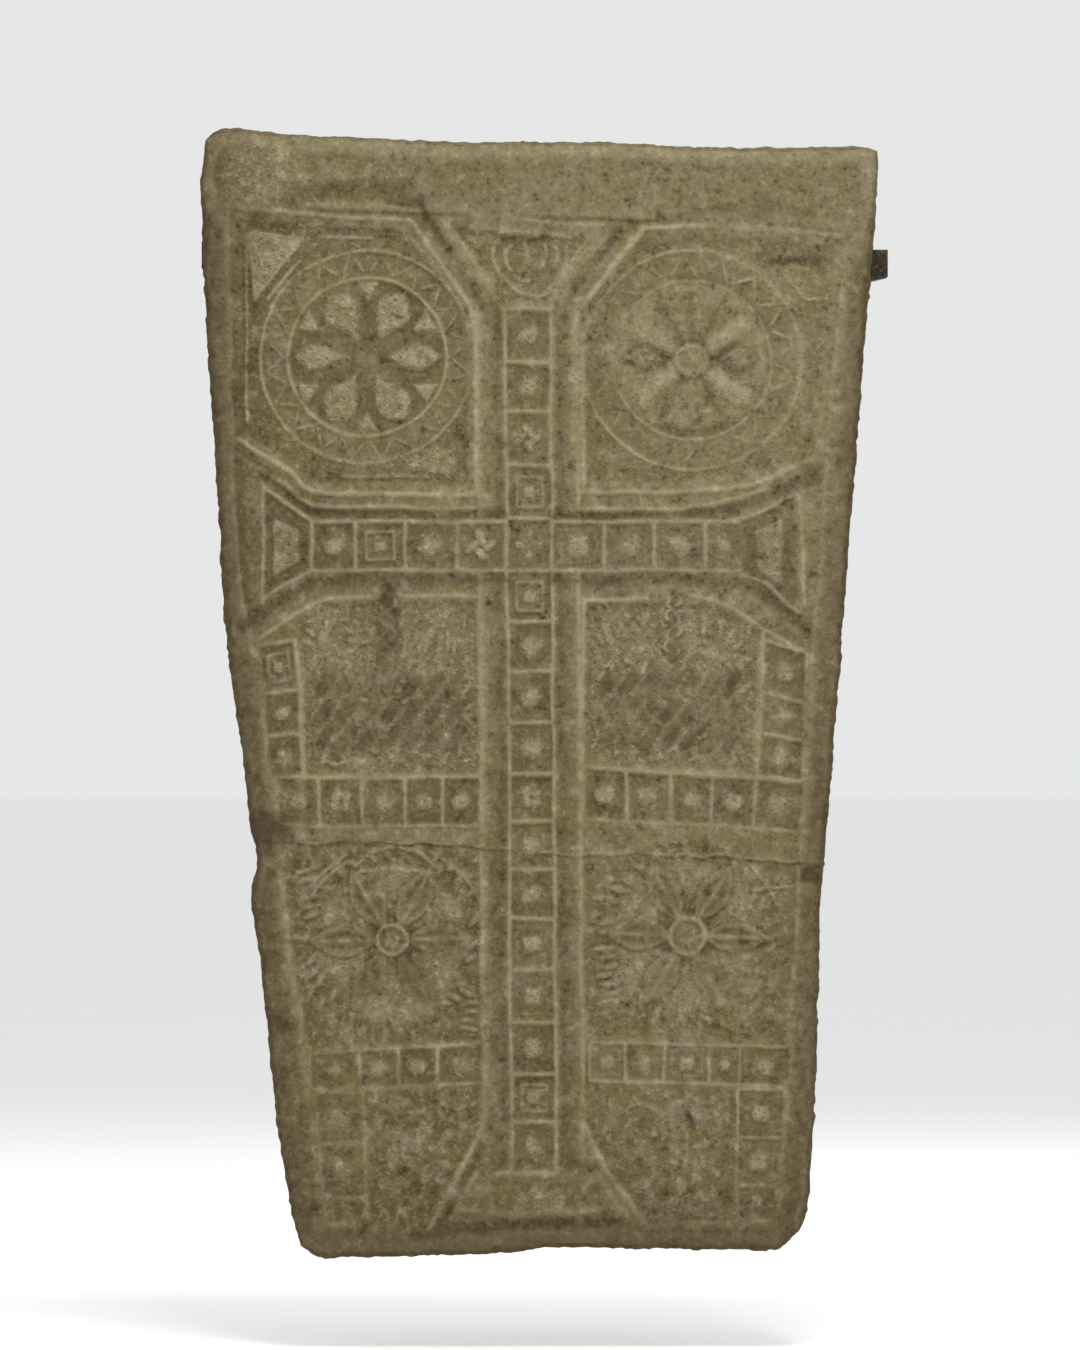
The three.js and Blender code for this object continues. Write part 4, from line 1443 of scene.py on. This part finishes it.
class GeometryBench(Bench):
    """A Geometry Nodes tree with named inputs."""

    def __init__(self, name: str) -> None:
        """Starts an empty tree with a geometry input and output."""
        super().__init__(bpy.data.node_groups.new(name, "GeometryNodeTree"))
        self.tree.interface.new_socket("Geometry", in_out="INPUT", socket_type="NodeSocketGeometry")
        self.tree.interface.new_socket("Geometry", in_out="OUTPUT", socket_type="NodeSocketGeometry")
        self.ways_in = self.tree.nodes.new("NodeGroupInput")

    def named(self, name: str, kind: str = "NodeSocketFloat") -> Wire:
        """A named input of the tree."""
        self.tree.interface.new_socket(name, in_out="INPUT", socket_type=kind)
        return Wire(self, self.ways_in.outputs[name])

    def geometry(self) -> Wire:
        """The geometry that comes in."""
        return Wire(self, self.ways_in.outputs["Geometry"])

    def attribute(self, name: str, kind: str) -> Wire:
        """An attribute that the points carry."""
        return self.add("GeometryNodeInputNamedAttribute", {"data_type": kind}, {"Name": name}, "Attribute")

    def finish(self, geometry: Wire, material: bpy.types.Material) -> None:
        """Realizes what there is, gives it its material and hands it out."""
        real = self.add("GeometryNodeRealizeInstances", {}, {"Geometry": geometry})
        dressed = self.add("GeometryNodeSetMaterial", {}, {"Geometry": real, "Material": material})
        self.add("NodeGroupOutput", {}, {"Geometry": dressed})

    def give(self, thing: bpy.types.Object, values: dict[str, object]) -> None:
        """Puts the tree on an object as a modifier, with values for its named inputs.

        Args:
            thing: The object.
            values: What each named input is set to.
        """
        modifier = thing.modifiers.new(self.tree.name, "NODES")
        modifier.node_group = self.tree
        for item in self.tree.interface.items_tree:
            if item.in_out == "INPUT" and item.name in values:
                modifier[item.identifier] = values[item.name]


# ---- finishes ----


def colour(red: int, green: int, blue: int, gain: float = 1.0) -> tuple[float, float, float, float]:
    """A colour given in display values from 0 to 255, as linear light."""
    straight = [((c / 255 + 0.055) / 1.055) ** 2.4 if c > 10 else c / 3295 for c in (red, green, blue)]
    return tuple(value * gain for value in straight) + (1.0,)


class ShaderBench(Bench):
    """A material's node tree with the marks and noises that a finish is mixed from."""

    def __init__(self, name: str) -> None:
        """Starts an empty material."""
        self.material = bpy.data.materials.new(name)
        self.material.use_nodes = True
        super().__init__(self.material.node_tree)
        self.tree.nodes.clear()
        self.place = self.add("ShaderNodeTexCoord", {}, {}, "Object")

    def noise(self, scale: float, detail: float = 4.0, roughness: float = 0.55, shift: float = 0.0) -> Wire:
        """Cloudy values from 0 to 1."""
        return self.add("ShaderNodeTexNoise", {"noise_dimensions": "4D"},
                        {"Vector": self.place, "Scale": scale, "Detail": detail, "Roughness": roughness,
                         "W": shift})

    def cells(self, scale: float) -> Wire:
        """Distances in a pattern of random cells."""
        values = {"Vector": self.place, "Scale": scale}
        return self.add("ShaderNodeTexVoronoi", {"feature": "F1"}, values, "Distance")

    def mark(self, name: str) -> Wire:
        """A mark that the surface carries."""
        return self.add("ShaderNodeAttribute", {"attribute_name": name}, {}, "Fac")

    def blend(self, share: Wire, first: object, second: object) -> Wire:
        """One colour mixed into another."""
        node = self.tree.nodes.new("ShaderNodeMix")
        node.data_type = "RGBA"
        self.plug(node.inputs[0], share)
        self.plug(node.inputs[6], first)
        self.plug(node.inputs[7], second)
        return Wire(self, node.outputs[2])

    def surface(self, values: dict[str, object]) -> bpy.types.Material:
        """Closes the material with its shader.

        Args:
            values: The values or wires of the shader's sockets.

        Returns:
            The finished material.
        """
        shader = self.add("ShaderNodeBsdfPrincipled", {}, values)
        self.add("ShaderNodeOutputMaterial", {}, {"Surface": shader})
        return self.material


@dataclass(frozen=True)
class WeatheredStone:
    """The slab's stone: olive, lilac-grey and brown clouds, pale where rubbed and with painted highlights on
    the crests, darker in the hollows with dirt and painted shade.
    """

    gain: float = 0.79
    olive: tuple[int, int, int] = (124, 112, 73)
    greyed: tuple[int, int, int] = (136, 126, 93)
    brown: tuple[int, int, int] = (103, 87, 56)
    lilac: tuple[int, int, int] = (138, 124, 103)
    # pale colour for rubbed stone, and for painted highlights on the crests and raised curls
    rubbed: tuple[int, int, int] = (178, 167, 134)
    # dark colour for dirt, and for painted shade in the hollows, grooves and sunk ground
    dirt_and_shade: tuple[int, int, int] = (72, 57, 35)

    def make(self) -> bpy.types.Material:
        """Builds the material."""
        bench = ShaderBench("weathered stone")
        tone = {name: colour(*getattr(self, name), self.gain)
                for name in ("olive", "greyed", "brown", "lilac", "rubbed", "dirt_and_shade")}
        crest, hollow, pecked = bench.mark("crest"), bench.mark("hollow"), bench.mark("pecked")
        dusky, margin, pale = bench.mark("dusky"), bench.mark("margin"), bench.mark("pale")
        broad, cloud = bench.noise(3.0, 3), bench.noise(11, 5, 0.65, 2.0)
        patch, mottle = bench.noise(27, 4, 0.6, 3.0), bench.noise(62, 4, 0.65, 4.0)
        grain, fine = bench.noise(150, 3, 0.6, 7.0), bench.noise(480, 3, 0.7, 9.0)
        pits, flecks = bench.cells(120), bench.cells(230)
        x = bench.add("ShaderNodeSeparateXYZ", {}, {0: bench.place}, "X")
        z = bench.add("ShaderNodeSeparateXYZ", {}, {0: bench.place}, "Z")
        top = z.eased(0.56, 0.68)
        lean = (x * 0.6 + z * 0.55 + broad).held()
        ground = bench.blend(lean, tone["brown"], tone["greyed"])
        ground = bench.blend(cloud.eased(0.34, 0.66) * 0.75, ground, tone["olive"])
        ground = bench.blend((patch.eased(0.48, 0.64) * (0.2 + mottle)).held(), ground, tone["lilac"])
        sides = x.eased(-0.33, -0.45) * 0.5 + z.eased(-0.6, -0.76) * 0.5
        rim = (margin * (1.0 - top * 0.8) * (0.55 + cloud * 0.8) + sides).held()
        # painted shade: the hollows are mixed towards brown here
        ground = bench.blend((rim * 0.9 + hollow * (0.2 + mottle * 0.5)).held(), ground, tone["brown"])
        # painted shade with dirt: hollows and dusky marks, which hold painted shade in grooves and sunk
        # ground, go towards the dark colour with random mottling
        shade = (dusky * (0.6 + patch * 0.55) + hollow * (0.08 + grain * 0.3) + rim * 0.5
                 + mottle.eased(0.48, 0.26) * 0.75 + grain.eased(0.48, 0.26) * 0.6
                 + cloud.eased(0.44, 0.25) * 0.4 + top * 0.15)
        ground = bench.blend(shade.held(), ground, tone["dirt_and_shade"])
        # painted highlight with wear: crests and pale marks are mixed towards the pale colour, with random
        # grain
        light = (crest * (0.15 + mottle * 0.4) + pale * (0.1 + mottle * 1.0) + mottle.eased(0.52, 0.76) * 0.48
                 + grain.eased(0.51, 0.72) * (0.28 + pecked * 0.3) + flecks.eased(0.5, 0.12) * pecked * 0.16)
        light = light * (1.0 - (dusky * 0.8).held()) * (1.0 - rim * 0.5)
        ground = bench.blend(light.held(), ground, tone["rubbed"])
        dark_pits = pits.eased(0.3, 0.06) * (0.05 + pecked * 0.28) * fine.eased(0.35, 0.6)
        ground = bench.blend(dark_pits.held(), ground, tone["dirt_and_shade"])
        rough = (0.92 - dusky * 0.14 - crest * 0.05 + grain * 0.06).held()
        height = (mottle * 0.9 + grain * 0.7 + fine * 0.2 - pits.eased(0.34, 0.05) * (0.3 + pecked * 0.5)
                  + flecks.eased(0.1, 0.6) * (0.1 + pecked * 0.4))
        bump = bench.add("ShaderNodeBump", {}, {"Strength": 0.9, "Distance": 0.0032, "Height": height})
        return bench.surface({"Base Color": ground, "Roughness": rough, "Normal": bump,
                              "Specular IOR Level": 0.2})


@dataclass(frozen=True)
class RustedIron:
    """The brackets' iron: dark brown with soft rust, and more metallic where the rust is thin."""

    skin: tuple[int, int, int] = (62, 50, 36)
    rust: tuple[int, int, int] = (92, 66, 42)
    black: tuple[int, int, int] = (34, 28, 22)

    def make(self) -> bpy.types.Material:
        """Builds the material."""
        bench = ShaderBench("rusted iron")
        broad, patches = bench.noise(38, 4, 0.6, 1.0), bench.noise(160, 5, 0.7, 3.0)
        scale = bench.cells(420)
        ground = bench.blend(broad.eased(0.38, 0.66), colour(*self.black), colour(*self.skin))
        ground = bench.blend(patches.eased(0.48, 0.7), ground, colour(*self.rust))
        rough = (0.6 + patches * 0.35 - broad * 0.1).held()
        metal = (0.55 - patches.eased(0.45, 0.65) * 0.5).held()
        height = patches * 0.7 + scale * 0.4
        bump = bench.add("ShaderNodeBump", {}, {"Strength": 0.6, "Distance": 0.0012, "Height": height})
        return bench.surface({"Base Color": ground, "Roughness": rough, "Metallic": metal, "Normal": bump})


# ---- the pieces ----


@dataclass
class MotifStamps:
    """The repeated motifs, stamped on points by one Geometry Nodes tree."""

    material: bpy.types.Material
    face: float
    unevenness: float = 0.18
    seed: int = 5

    def tree(self) -> GeometryBench:
        """The tree that puts each form on the points that ask for it."""
        bench = GeometryBench("stamped motifs")
        unevenness, seed = bench.named("Unevenness"), bench.named("Seed", "NodeSocketInt")
        top, thickness = bench.named("Top Width"), bench.named("Ring Thickness")
        cone = {"Vertices": 4, "Radius Bottom": 1.0, "Depth": 1.0}
        taper = bench.add("GeometryNodeMeshCone", {}, {**cone, "Radius Top": top})
        quarter = (0.0, 0.0, math.radians(45))
        block = bench.add("GeometryNodeTransform", {}, {"Geometry": taper, "Rotation": quarter,
                                                        "Scale": (math.sqrt(2), math.sqrt(2), 1.0)})
        point = bench.add("GeometryNodeMeshCone", {}, {**cone, "Radius Top": 0.12})
        dome = bench.add("GeometryNodeMeshUVSphere", {}, {"Segments": 14, "Rings": 8, "Radius": 1.0})
        loop = bench.add("GeometryNodeCurvePrimitiveCircle", {}, {"Resolution": 14, "Radius": 0.72})
        section = bench.add("GeometryNodeCurvePrimitiveCircle", {}, {"Resolution": 8, "Radius": thickness})
        ring = bench.add("GeometryNodeCurveToMesh", {}, {"Curve": loop, "Profile Curve": section})
        spread = bench.add("FunctionNodeRandomValue", {"data_type": "FLOAT_VECTOR"},
                           {0: (-1.0, -1.0, -1.0), 1: (1.0, 1.0, 1.0), "Seed": seed})
        spread = bench.add("ShaderNodeVectorMath", {"operation": "SCALE"}, {0: spread, "Scale": unevenness})
        size = bench.attribute("size", "FLOAT_VECTOR")
        grown = bench.add("ShaderNodeVectorMath", {"operation": "ADD"}, {0: spread, 1: (1.0, 1.0, 1.0)})
        size = bench.add("ShaderNodeVectorMath", {"operation": "MULTIPLY"}, {0: size, 1: grown})
        turning = bench.add("ShaderNodeVectorMath", {"operation": "MULTIPLY"},
                            {0: spread, 1: (0.0, 1.0, 0.0)})
        turning = bench.add("ShaderNodeVectorMath", {"operation": "ADD"},
                            {0: turning, 1: bench.attribute("turning", "FLOAT_VECTOR")})
        rotation = bench.add("FunctionNodeEulerToRotation", {}, {0: turning})
        form = bench.attribute("form", "INT")
        stamps = []
        for kind, shape in ((Form.PYRAMID, point), (Form.BLOCK, block), (Form.DOME, dome), (Form.RING, ring)):
            chosen = bench.add("FunctionNodeCompare", {"data_type": "INT", "operation": "EQUAL"},
                               {2: form, 3: kind.value})
            stamps.append(bench.add("GeometryNodeInstanceOnPoints", {},
                                    {"Points": bench.geometry(), "Selection": chosen, "Instance": shape,
                                     "Rotation": rotation, "Scale": size}))
        joined = bench.add("GeometryNodeJoinGeometry", {}, {"Geometry": stamps})
        bench.finish(joined, self.material)
        return bench

    def build(self, motifs: Sequence[Motif]) -> bpy.types.Object:
        """Stamps the motifs.

        Args:
            motifs: What to stamp, and where.

        Returns:
            An object that holds them all, used only to press them into the face.
        """
        places = [(m.centre[0] * MM, -(self.face + m.floor) * MM, m.centre[1] * MM) for m in motifs]
        points = bpy.data.meshes.new("motif points")
        points.from_pydata(places, [], [])
        sizes = [(m.length / 2 * MM, m.width / 2 * MM, m.rise * MM) for m in motifs]
        turns = [(math.pi / 2, -math.radians(m.turn), 0.0) for m in motifs]
        forms = [m.form.value for m in motifs]
        points.attributes.new("size", "FLOAT_VECTOR", "POINT").data.foreach_set("vector", np.ravel(sizes))
        points.attributes.new("turning", "FLOAT_VECTOR", "POINT").data.foreach_set("vector", np.ravel(turns))
        points.attributes.new("form", "INT", "POINT").data.foreach_set("value", forms)
        stamped = linked("motifs", points)
        self.tree().give(stamped, {"Unevenness": self.unevenness, "Seed": self.seed, "Top Width": 0.55,
                                   "Ring Thickness": 0.3})
        stamped.data = applied(stamped)
        return stamped


@dataclass
class CarvedSlab:
    """The slab itself: one closed surface with the whole relief in it."""

    material: bpy.types.Material
    grid: SlabGrid
    rounding: Rounding = Rounding()
    budget: int = 193_000

    def parts(self) -> list:
        """The carving's parts, in the order in which they are cut."""
        return [
            Border(), UpperPanels(), LowerPanels(), MiddlePanels(), FootPanels(), Cross(),
            Medallion((-232, 448), 142, 106, 20, 0.0),
            WornMedallion((201, 443), 146, 106, 17, 0.45, 20.0, FIELD + 0.8),
            Losses(),
        ]

    def build(self) -> bpy.types.Object:
        """Carves the face, closes it with sides and a back, and thins it to its budget.

        Returns:
            The finished slab.
        """
        face = -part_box(SLAB_NODE)[0].y / MM
        plan = self.grid.patch(*self.grid.sides())
        x, z = plan[..., 0], plan[..., 1]
        canvas = Canvas(x, z)
        motifs = [motif for part in self.parts() for motif in part.carve(canvas)]
        log.info("carved %d parts with %d stamped motifs", len(self.parts()), len(motifs))
        edge = self.edge_distance(x, z)
        self.age(canvas, x, z)
        level = face - 0.6 + canvas.level - self.rounding.drop(x, z, edge, face)
        points, quads, triangles = self.closed(plan, level)
        slab = linked("carved_slab", mesh_of("carved slab", points, (quads, triangles)))
        stamped = MotifStamps(self.material, face - 0.6).build(motifs)
        self.drape_tree().give(slab, {"Motifs": stamped, "Reach": 1.0, "Unevenness": 0.0014, "Grain": 0.0008,
                                      "Seed": 3.0})
        pressed = applied(slab)
        self.settle(pressed)
        bpy.data.objects.remove(stamped)
        slab.data = pressed
        self.mark(slab.data, canvas, edge)
        self.thin(slab)
        slab.data.shade_smooth()
        return slab

    def settle(self, mesh: bpy.types.Mesh) -> None:
        """Draws the face back by the height of its grain, so that the stone keeps its true thickness."""
        grain_height, start, blend = 1.7, 106.0, 12.0
        points = positions(mesh)
        level = -points[:, 1] / MM
        points[:, 1] += grain_height * MM * step_smoothly((level - start) / blend)
        mesh.vertices.foreach_set("co", points.ravel())
        mesh.update()

    def edge_distance(self, x: np.ndarray, z: np.ndarray) -> np.ndarray:
        """Each grid point's distance from the outline, as far as it matters."""
        reach = 60.0
        loop = [np.concatenate([g[0], g[:, -1], g[-1, ::-1], g[::-1, 0]])[::6] for g in (x, z)]
        outline = list(zip(*loop))
        cells = int(reach / 2)
        near = np.zeros(x.shape, bool)
        near[:cells], near[-cells:], near[:, :cells], near[:, -cells:] = True, True, True, True
        edge = np.full(x.shape, reach)
        edge[near] = np.minimum(distance_to(x[near], z[near], [*outline, outline[0]]), reach)
        rim = np.zeros(x.shape, bool)
        rim[0], rim[-1], rim[:, 0], rim[:, -1] = True, True, True, True
        edge[rim] = 0.0
        return edge

    def age(self, canvas: Canvas, x: np.ndarray, z: np.ndarray) -> None:
        """Wears the carving down, more in some places, and roughens what was pecked."""
        soft = blurred(canvas.level, 1)
        flattened = blurred(canvas.level, 6)
        rubbed = fractal_noise(x, z, 130, 61) * 0.6 + fractal_noise(x, z, 40, 62) * 0.4
        low = step_smoothly((-520 - z) / 140)
        high = step_smoothly((z - 600) / 60)
        right = step_smoothly((x - 150) / 160) * step_smoothly((z - 120) / 80)
        softened = np.clip(0.45 + rubbed * 0.9 + low * 0.3 + high * 0.2 + right * 0.2, 0, 1)
        canvas.level = mix(canvas.level, soft, softened)
        share = np.clip(0.04 + rubbed * 0.45 + low * 0.22 + high * 0.15 + right * 0.14, 0, 0.55)
        canvas.level = mix(canvas.level, flattened, share)
        canvas.pale = mix(canvas.pale, blurred(canvas.pale, 1), 0.6) * (1 - 0.5 * share)
        canvas.dusky = mix(canvas.dusky, blurred(canvas.dusky, 1), 0.4) * (1 - 0.35 * share)
        canvas.level += 1.2 * fractal_noise(x, z, 190, 63) + 0.8 * fractal_noise(x, z, 45, 65)
        canvas.level += (0.7 + 0.9 * canvas.pecked) * fractal_noise(x, z, 10, 67, 2)
        canvas.level += 1.0 * fractal_noise(x, z, 20, 68, 2)
        canvas.level -= 4.0 * np.clip(fractal_noise(x, z, 30, 69) - 0.4, 0, 1)
        canvas.dusky *= np.clip(0.8 + 0.6 * fractal_noise(x, z, 30, 70), 0.3, 1.2)

    def closed(self, plan: np.ndarray, level: np.ndarray) -> tuple[np.ndarray, np.ndarray, np.ndarray]:
        """Joins the face to its sides and its back.

        Args:
            plan: The grid's x and z.
            level: The face's distance out from the back at each grid point.

        Returns:
            The points in metres, the quads and the triangles.
        """
        rows, columns = level.shape
        every = self.grid.coarse
        front = np.stack([plan[..., 0], -level, plan[..., 1]], axis=-1).reshape(-1, 3)
        index = np.arange(rows * columns).reshape(rows, columns)
        cells = np.stack([index[:-1, :-1], index[:-1, 1:], index[1:, 1:], index[1:, :-1]], -1)
        quads = [cells.reshape(-1, 4)]
        rim = np.concatenate([index[0, :-1], index[:-1, -1], index[-1, :0:-1], index[:0:-1, 0]])
        inset = self.grid.back_taper
        around = front[rim[::every]][:, (0, 2)]
        centre = around.mean(axis=0)
        pull = (centre - around) / np.abs(centre - around).max(axis=1)[:, None]
        rings = []
        for depth in self.grid.side_levels[1:]:
            share = max(1 - depth / 91, 0.0)
            moved = around + pull * inset * share
            rough = 1.2 * fractal_noise(moved[:, 0] + 3 * depth, moved[:, 1] + 2 * depth, 40, 81)
            moved = moved + pull * (rough + 1.2)[:, None] * min(1.0, (104 - depth) / 20)
            rings.append(np.column_stack([moved[:, 0], np.full(len(moved), -depth), moved[:, 1]]))
        count = len(around)
        first = len(front) + np.arange(count)
        triangles = self.stitch(rim, first, every)
        for step in range(len(rings) - 1):
            here = first + step * count
            there = here + count
            quads.append(np.stack([here, there, np.roll(there, -1), np.roll(here, -1)], -1))
        back, back_quads = self.back(rings[-1], (rows - 1) // every, (columns - 1) // every,
                                     len(front) + (len(rings) - 1) * count)
        quads.append(back_quads)
        points = np.vstack([front, *rings, back])
        return points * MM, np.concatenate(quads), triangles

    def stitch(self, rim: np.ndarray, ring: np.ndarray, every: int) -> np.ndarray:
        """Triangles between the fine rim of the face and the first coarse ring."""
        triangles = []
        half = every // 2
        ahead = np.roll(ring, -1)
        for step in range(every):
            a, b = np.roll(rim, -step)[::every], np.roll(rim, -step - 1)[::every]
            triangles.append(np.stack([a, ring if step < half else ahead, b], -1))
        middle = np.roll(rim, -half)[::every]
        triangles.append(np.stack([middle, ring, ahead], -1))
        return np.concatenate(triangles)

    def back(self, ring: np.ndarray, rows: int, columns: int, start: int) -> tuple[np.ndarray, np.ndarray]:
        """The rough back, laid inside the last ring.

        Args:
            ring: The last ring's points.
            rows: How many cells the back has upwards.
            columns: How many it has across.
            start: The index of the ring's first point.

        Returns:
            The back's own inner points and its quads.
        """
        plane = ring[:, (0, 2)]
        foot, right = plane[: columns + 1], plane[columns : columns + rows + 1]
        top = plane[columns + rows : 2 * columns + rows + 1][::-1]
        left = np.vstack([plane[2 * columns + rows :], plane[:1]])[::-1]
        grid = self.grid.patch(foot, top, left, right)
        x, z = grid[..., 0], grid[..., 1]
        furrows = np.sin((x + z) / 6.5 + 3 * fractal_noise(x, z, 150, 92))
        hollow = 4.2 + 2.2 * fractal_noise(x, z, 120, 91) + 1.6 * fractal_noise(x, z, 30, 93) + 1.0 * furrows
        inner = np.stack([x, -np.clip(hollow, 0, None), z], -1)[1:-1, 1:-1].reshape(-1, 3)
        index = np.empty((rows + 1, columns + 1), int)
        around = start + np.arange(len(ring))
        index[0, :], index[:, -1] = around[: columns + 1], around[columns : columns + rows + 1]
        index[-1, ::-1] = around[columns + rows : 2 * columns + rows + 1]
        index[::-1, 0] = np.append(around[2 * columns + rows :], around[0])
        index[1:-1, 1:-1] = start + len(ring) + np.arange(len(inner)).reshape(rows - 1, columns - 1)
        quads = np.stack([index[:-1, :-1], index[1:, :-1], index[1:, 1:], index[:-1, 1:]], -1).reshape(-1, 4)
        return inner, quads

    def drape_tree(self) -> GeometryBench:
        """The tree that presses the motifs into the face and weathers the whole surface."""
        bench = GeometryBench("drape and weather")
        motifs, reach = bench.named("Motifs", "NodeSocketObject"), bench.named("Reach")
        uneven, grain, seed = bench.named("Unevenness"), bench.named("Grain"), bench.named("Seed")
        here = bench.add("GeometryNodeInputPosition")
        parts = {axis: bench.add("ShaderNodeSeparateXYZ", {}, {0: here}, axis) for axis in "XYZ"}
        source = bench.add("ShaderNodeCombineXYZ", {}, {"X": parts["X"], "Y": reach * -1.0, "Z": parts["Z"]})
        shapes = bench.add("GeometryNodeObjectInfo", {}, {"Object": motifs}, "Geometry")
        ray = {"Target Geometry": shapes, "Source Position": source, "Ray Direction": (0.0, 1.0, 0.0),
               "Ray Length": reach}
        cast = bench.add("GeometryNodeRaycast", {}, ray, "Is Hit")
        found = Wire(bench, cast.socket.node.outputs["Hit Position"])
        height = bench.add("ShaderNodeSeparateXYZ", {}, {0: found}, "Y")
        carved = parts["Y"].math("LESS_THAN", parts["Y"], -0.09)
        lift = parts["Y"].math("MINIMUM", height - parts["Y"], 0.0) * cast * carved
        pressed = bench.add("ShaderNodeCombineXYZ", {}, {"Y": lift})
        shaped = bench.add("GeometryNodeSetPosition", {}, {"Geometry": bench.geometry(), "Offset": pressed})
        noise = {"noise_dimensions": "4D"}
        broad, fine = (
            bench.add("ShaderNodeTexNoise", noise,
                      {"Vector": here, "W": seed, "Scale": scale, "Detail": detail})
            for scale, detail in ((16.0, 3.0), (110.0, 2.0))
        )
        swell = (broad - 0.5) * uneven + (fine - 0.5) * grain
        facing = bench.add("GeometryNodeInputNormal")
        push = bench.add("ShaderNodeVectorMath", {"operation": "SCALE"}, {0: facing, "Scale": swell})
        worn = bench.add("GeometryNodeSetPosition", {}, {"Geometry": shaped, "Offset": push})
        bench.finish(worn, self.material)
        return bench

    def mark(self, mesh: bpy.types.Mesh, canvas: Canvas, edge: np.ndarray) -> None:
        """Stores the marks that the finish follows on every point of the surface."""
        rows, columns = canvas.level.shape
        count = rows * columns
        points = positions(mesh)
        level = -points[:count, 1].reshape(rows, columns) / MM
        smooth = step_smoothly(edge / 14)
        # crest is painted paler by the finish, as a painted highlight and wear; hollow is painted darker, as
        # painted shade and dirt
        relief = (level - blurred(level, 4)) * smooth
        deep = (blurred(level, 11) - level) * smooth
        layers = {
            "crest": np.clip(relief / 2.2, 0, 1),
            "hollow": np.clip(deep / 3.4, 0, 1),
            "pecked": np.clip(canvas.pecked, 0, 1),
            "dusky": np.clip(canvas.dusky, 0, 1),
            "pale": np.clip(canvas.pale, 0, 1),
            "margin": 1 - step_smoothly((edge - 10) / 40),
        }
        rest = {"crest": 0.05, "hollow": 0.2, "pecked": 0.25, "dusky": 0.15, "pale": 0.05, "margin": 1.0}
        for name, layer in layers.items():
            values = np.full(len(points), rest[name], np.float32)
            values[:count] = layer.ravel()
            mesh.attributes.new(name, "FLOAT", "POINT").data.foreach_set("value", values)

    def thin(self, slab: bpy.types.Object) -> None:
        """Collapses the least needed edges until the slab is within its budget of triangles."""
        mesh = slab.data
        mesh.calc_loop_triangles()
        modifier = slab.modifiers.new("thin", "DECIMATE")
        modifier.ratio = min(self.budget / len(mesh.loop_triangles), 1.0)
        modifier.use_collapse_triangulate = True
        slab.data = applied(slab)


@dataclass
class Brackets:
    """The two iron lugs that stand out of the wall and hold the slab's sides."""

    material: bpy.types.Material

    def dress(self) -> list[bpy.types.Object]:
        """Gives both brackets their iron finish."""
        pieces = [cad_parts[name] for name in BRACKET_NODES]
        for piece in pieces:
            piece.data.materials.clear()
            piece.data.materials.append(self.material)
        return pieces


@dataclass
class Studio:
    """The floor, the light and the camera."""

    drop: float = 0.12
    floor_reach: float = 62.0
    distance: float = 14.0
    aim: Pair = (-0.0013, 0.024)
    frame_height: float = 1.798
    sensor: float = 36.0

    def build(self) -> None:
        """Sets up everything that isn't part of the object."""
        self.floor()
        self.lights()
        self.camera()

    def floor(self) -> None:
        """A wide pale floor below the slab's foot."""
        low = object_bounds()[0].z - self.drop
        r = self.floor_reach
        corners = [(-r, -r, low), (r, -r, low), (r, r, low), (-r, r, low)]
        mesh = bpy.data.meshes.new("floor")
        mesh.from_pydata(corners, [], [(0, 1, 2, 3)])
        bench = ShaderBench("pale floor")
        cloud = bench.noise(1.5, 2)
        tint = bench.blend(cloud, (0.93, 0.935, 0.93, 1.0), (0.95, 0.95, 0.945, 1.0))
        mesh.materials.append(bench.surface({"Base Color": tint, "Roughness": 0.9}))
        linked("floor", mesh)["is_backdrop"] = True

    def area(self, name: str, spot: Sequence[float], size: float, power: float,
             tint: Sequence[float]) -> None:
        """A soft light that looks at the slab's middle."""
        data = bpy.data.lights.new(name, "AREA")
        data.size = size
        data.energy = power
        data.color = tint
        lamp = linked(name, data)
        lamp.location = spot
        lamp.rotation_euler = (Vector((0, -0.1, 0)) - Vector(spot)).to_track_quat("-Z", "Y").to_euler()

    def lights(self) -> None:
        """A key from above and a little to the right, a weak fill, a light behind, and a pale sky."""
        self.area("key", (0.5, -3.0, 4.4), 1.4, 150, (1.0, 0.98, 0.94))
        self.area("fill", (3.4, -4.2, 1.2), 3.0, 20, (0.95, 0.98, 1.0))
        self.area("behind", (1.5, 4.5, 3.5), 3.0, 90, (1.0, 1.0, 1.0))
        world = bpy.data.worlds.new("studio")
        world.use_nodes = True
        sky = world.node_tree.nodes["Background"]
        sky.inputs["Color"].default_value = (0.92, 0.93, 0.93, 1.0)
        sky.inputs["Strength"].default_value = 0.86
        bpy.context.scene.world = world
        bpy.context.scene.view_settings.view_transform = "Standard"

    def camera(self) -> None:
        """A long lens straight in front of the carved face."""
        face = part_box(SLAB_NODE)[0].y
        data = bpy.data.cameras.new("camera")
        data.sensor_width = self.sensor
        data.lens = self.sensor * self.distance / self.frame_height
        made = linked("camera", data)
        made.location = (self.aim[0], face - self.distance, self.aim[1])
        made.rotation_euler = (math.pi / 2, 0.0, 0.0)
        bpy.context.scene.camera = made


def main() -> None:
    """Builds every piece and the studio."""
    logging.basicConfig(level=logging.INFO, format="%(name)s: %(message)s")
    stone = WeatheredStone().make()
    fine = SlabGrid(columns=384, rows=640)
    slab = CarvedSlab(stone, fine).build()
    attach(slab, "root")
    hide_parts(SLAB_NODE)
    log.info("slab: %d points, %d faces", len(slab.data.vertices), len(slab.data.polygons))
    for bracket in Brackets(RustedIron().make()).dress():
        log.info("bracket: %s", bracket.name)
    Studio().build()


if __name__ == "__main__":
    main()
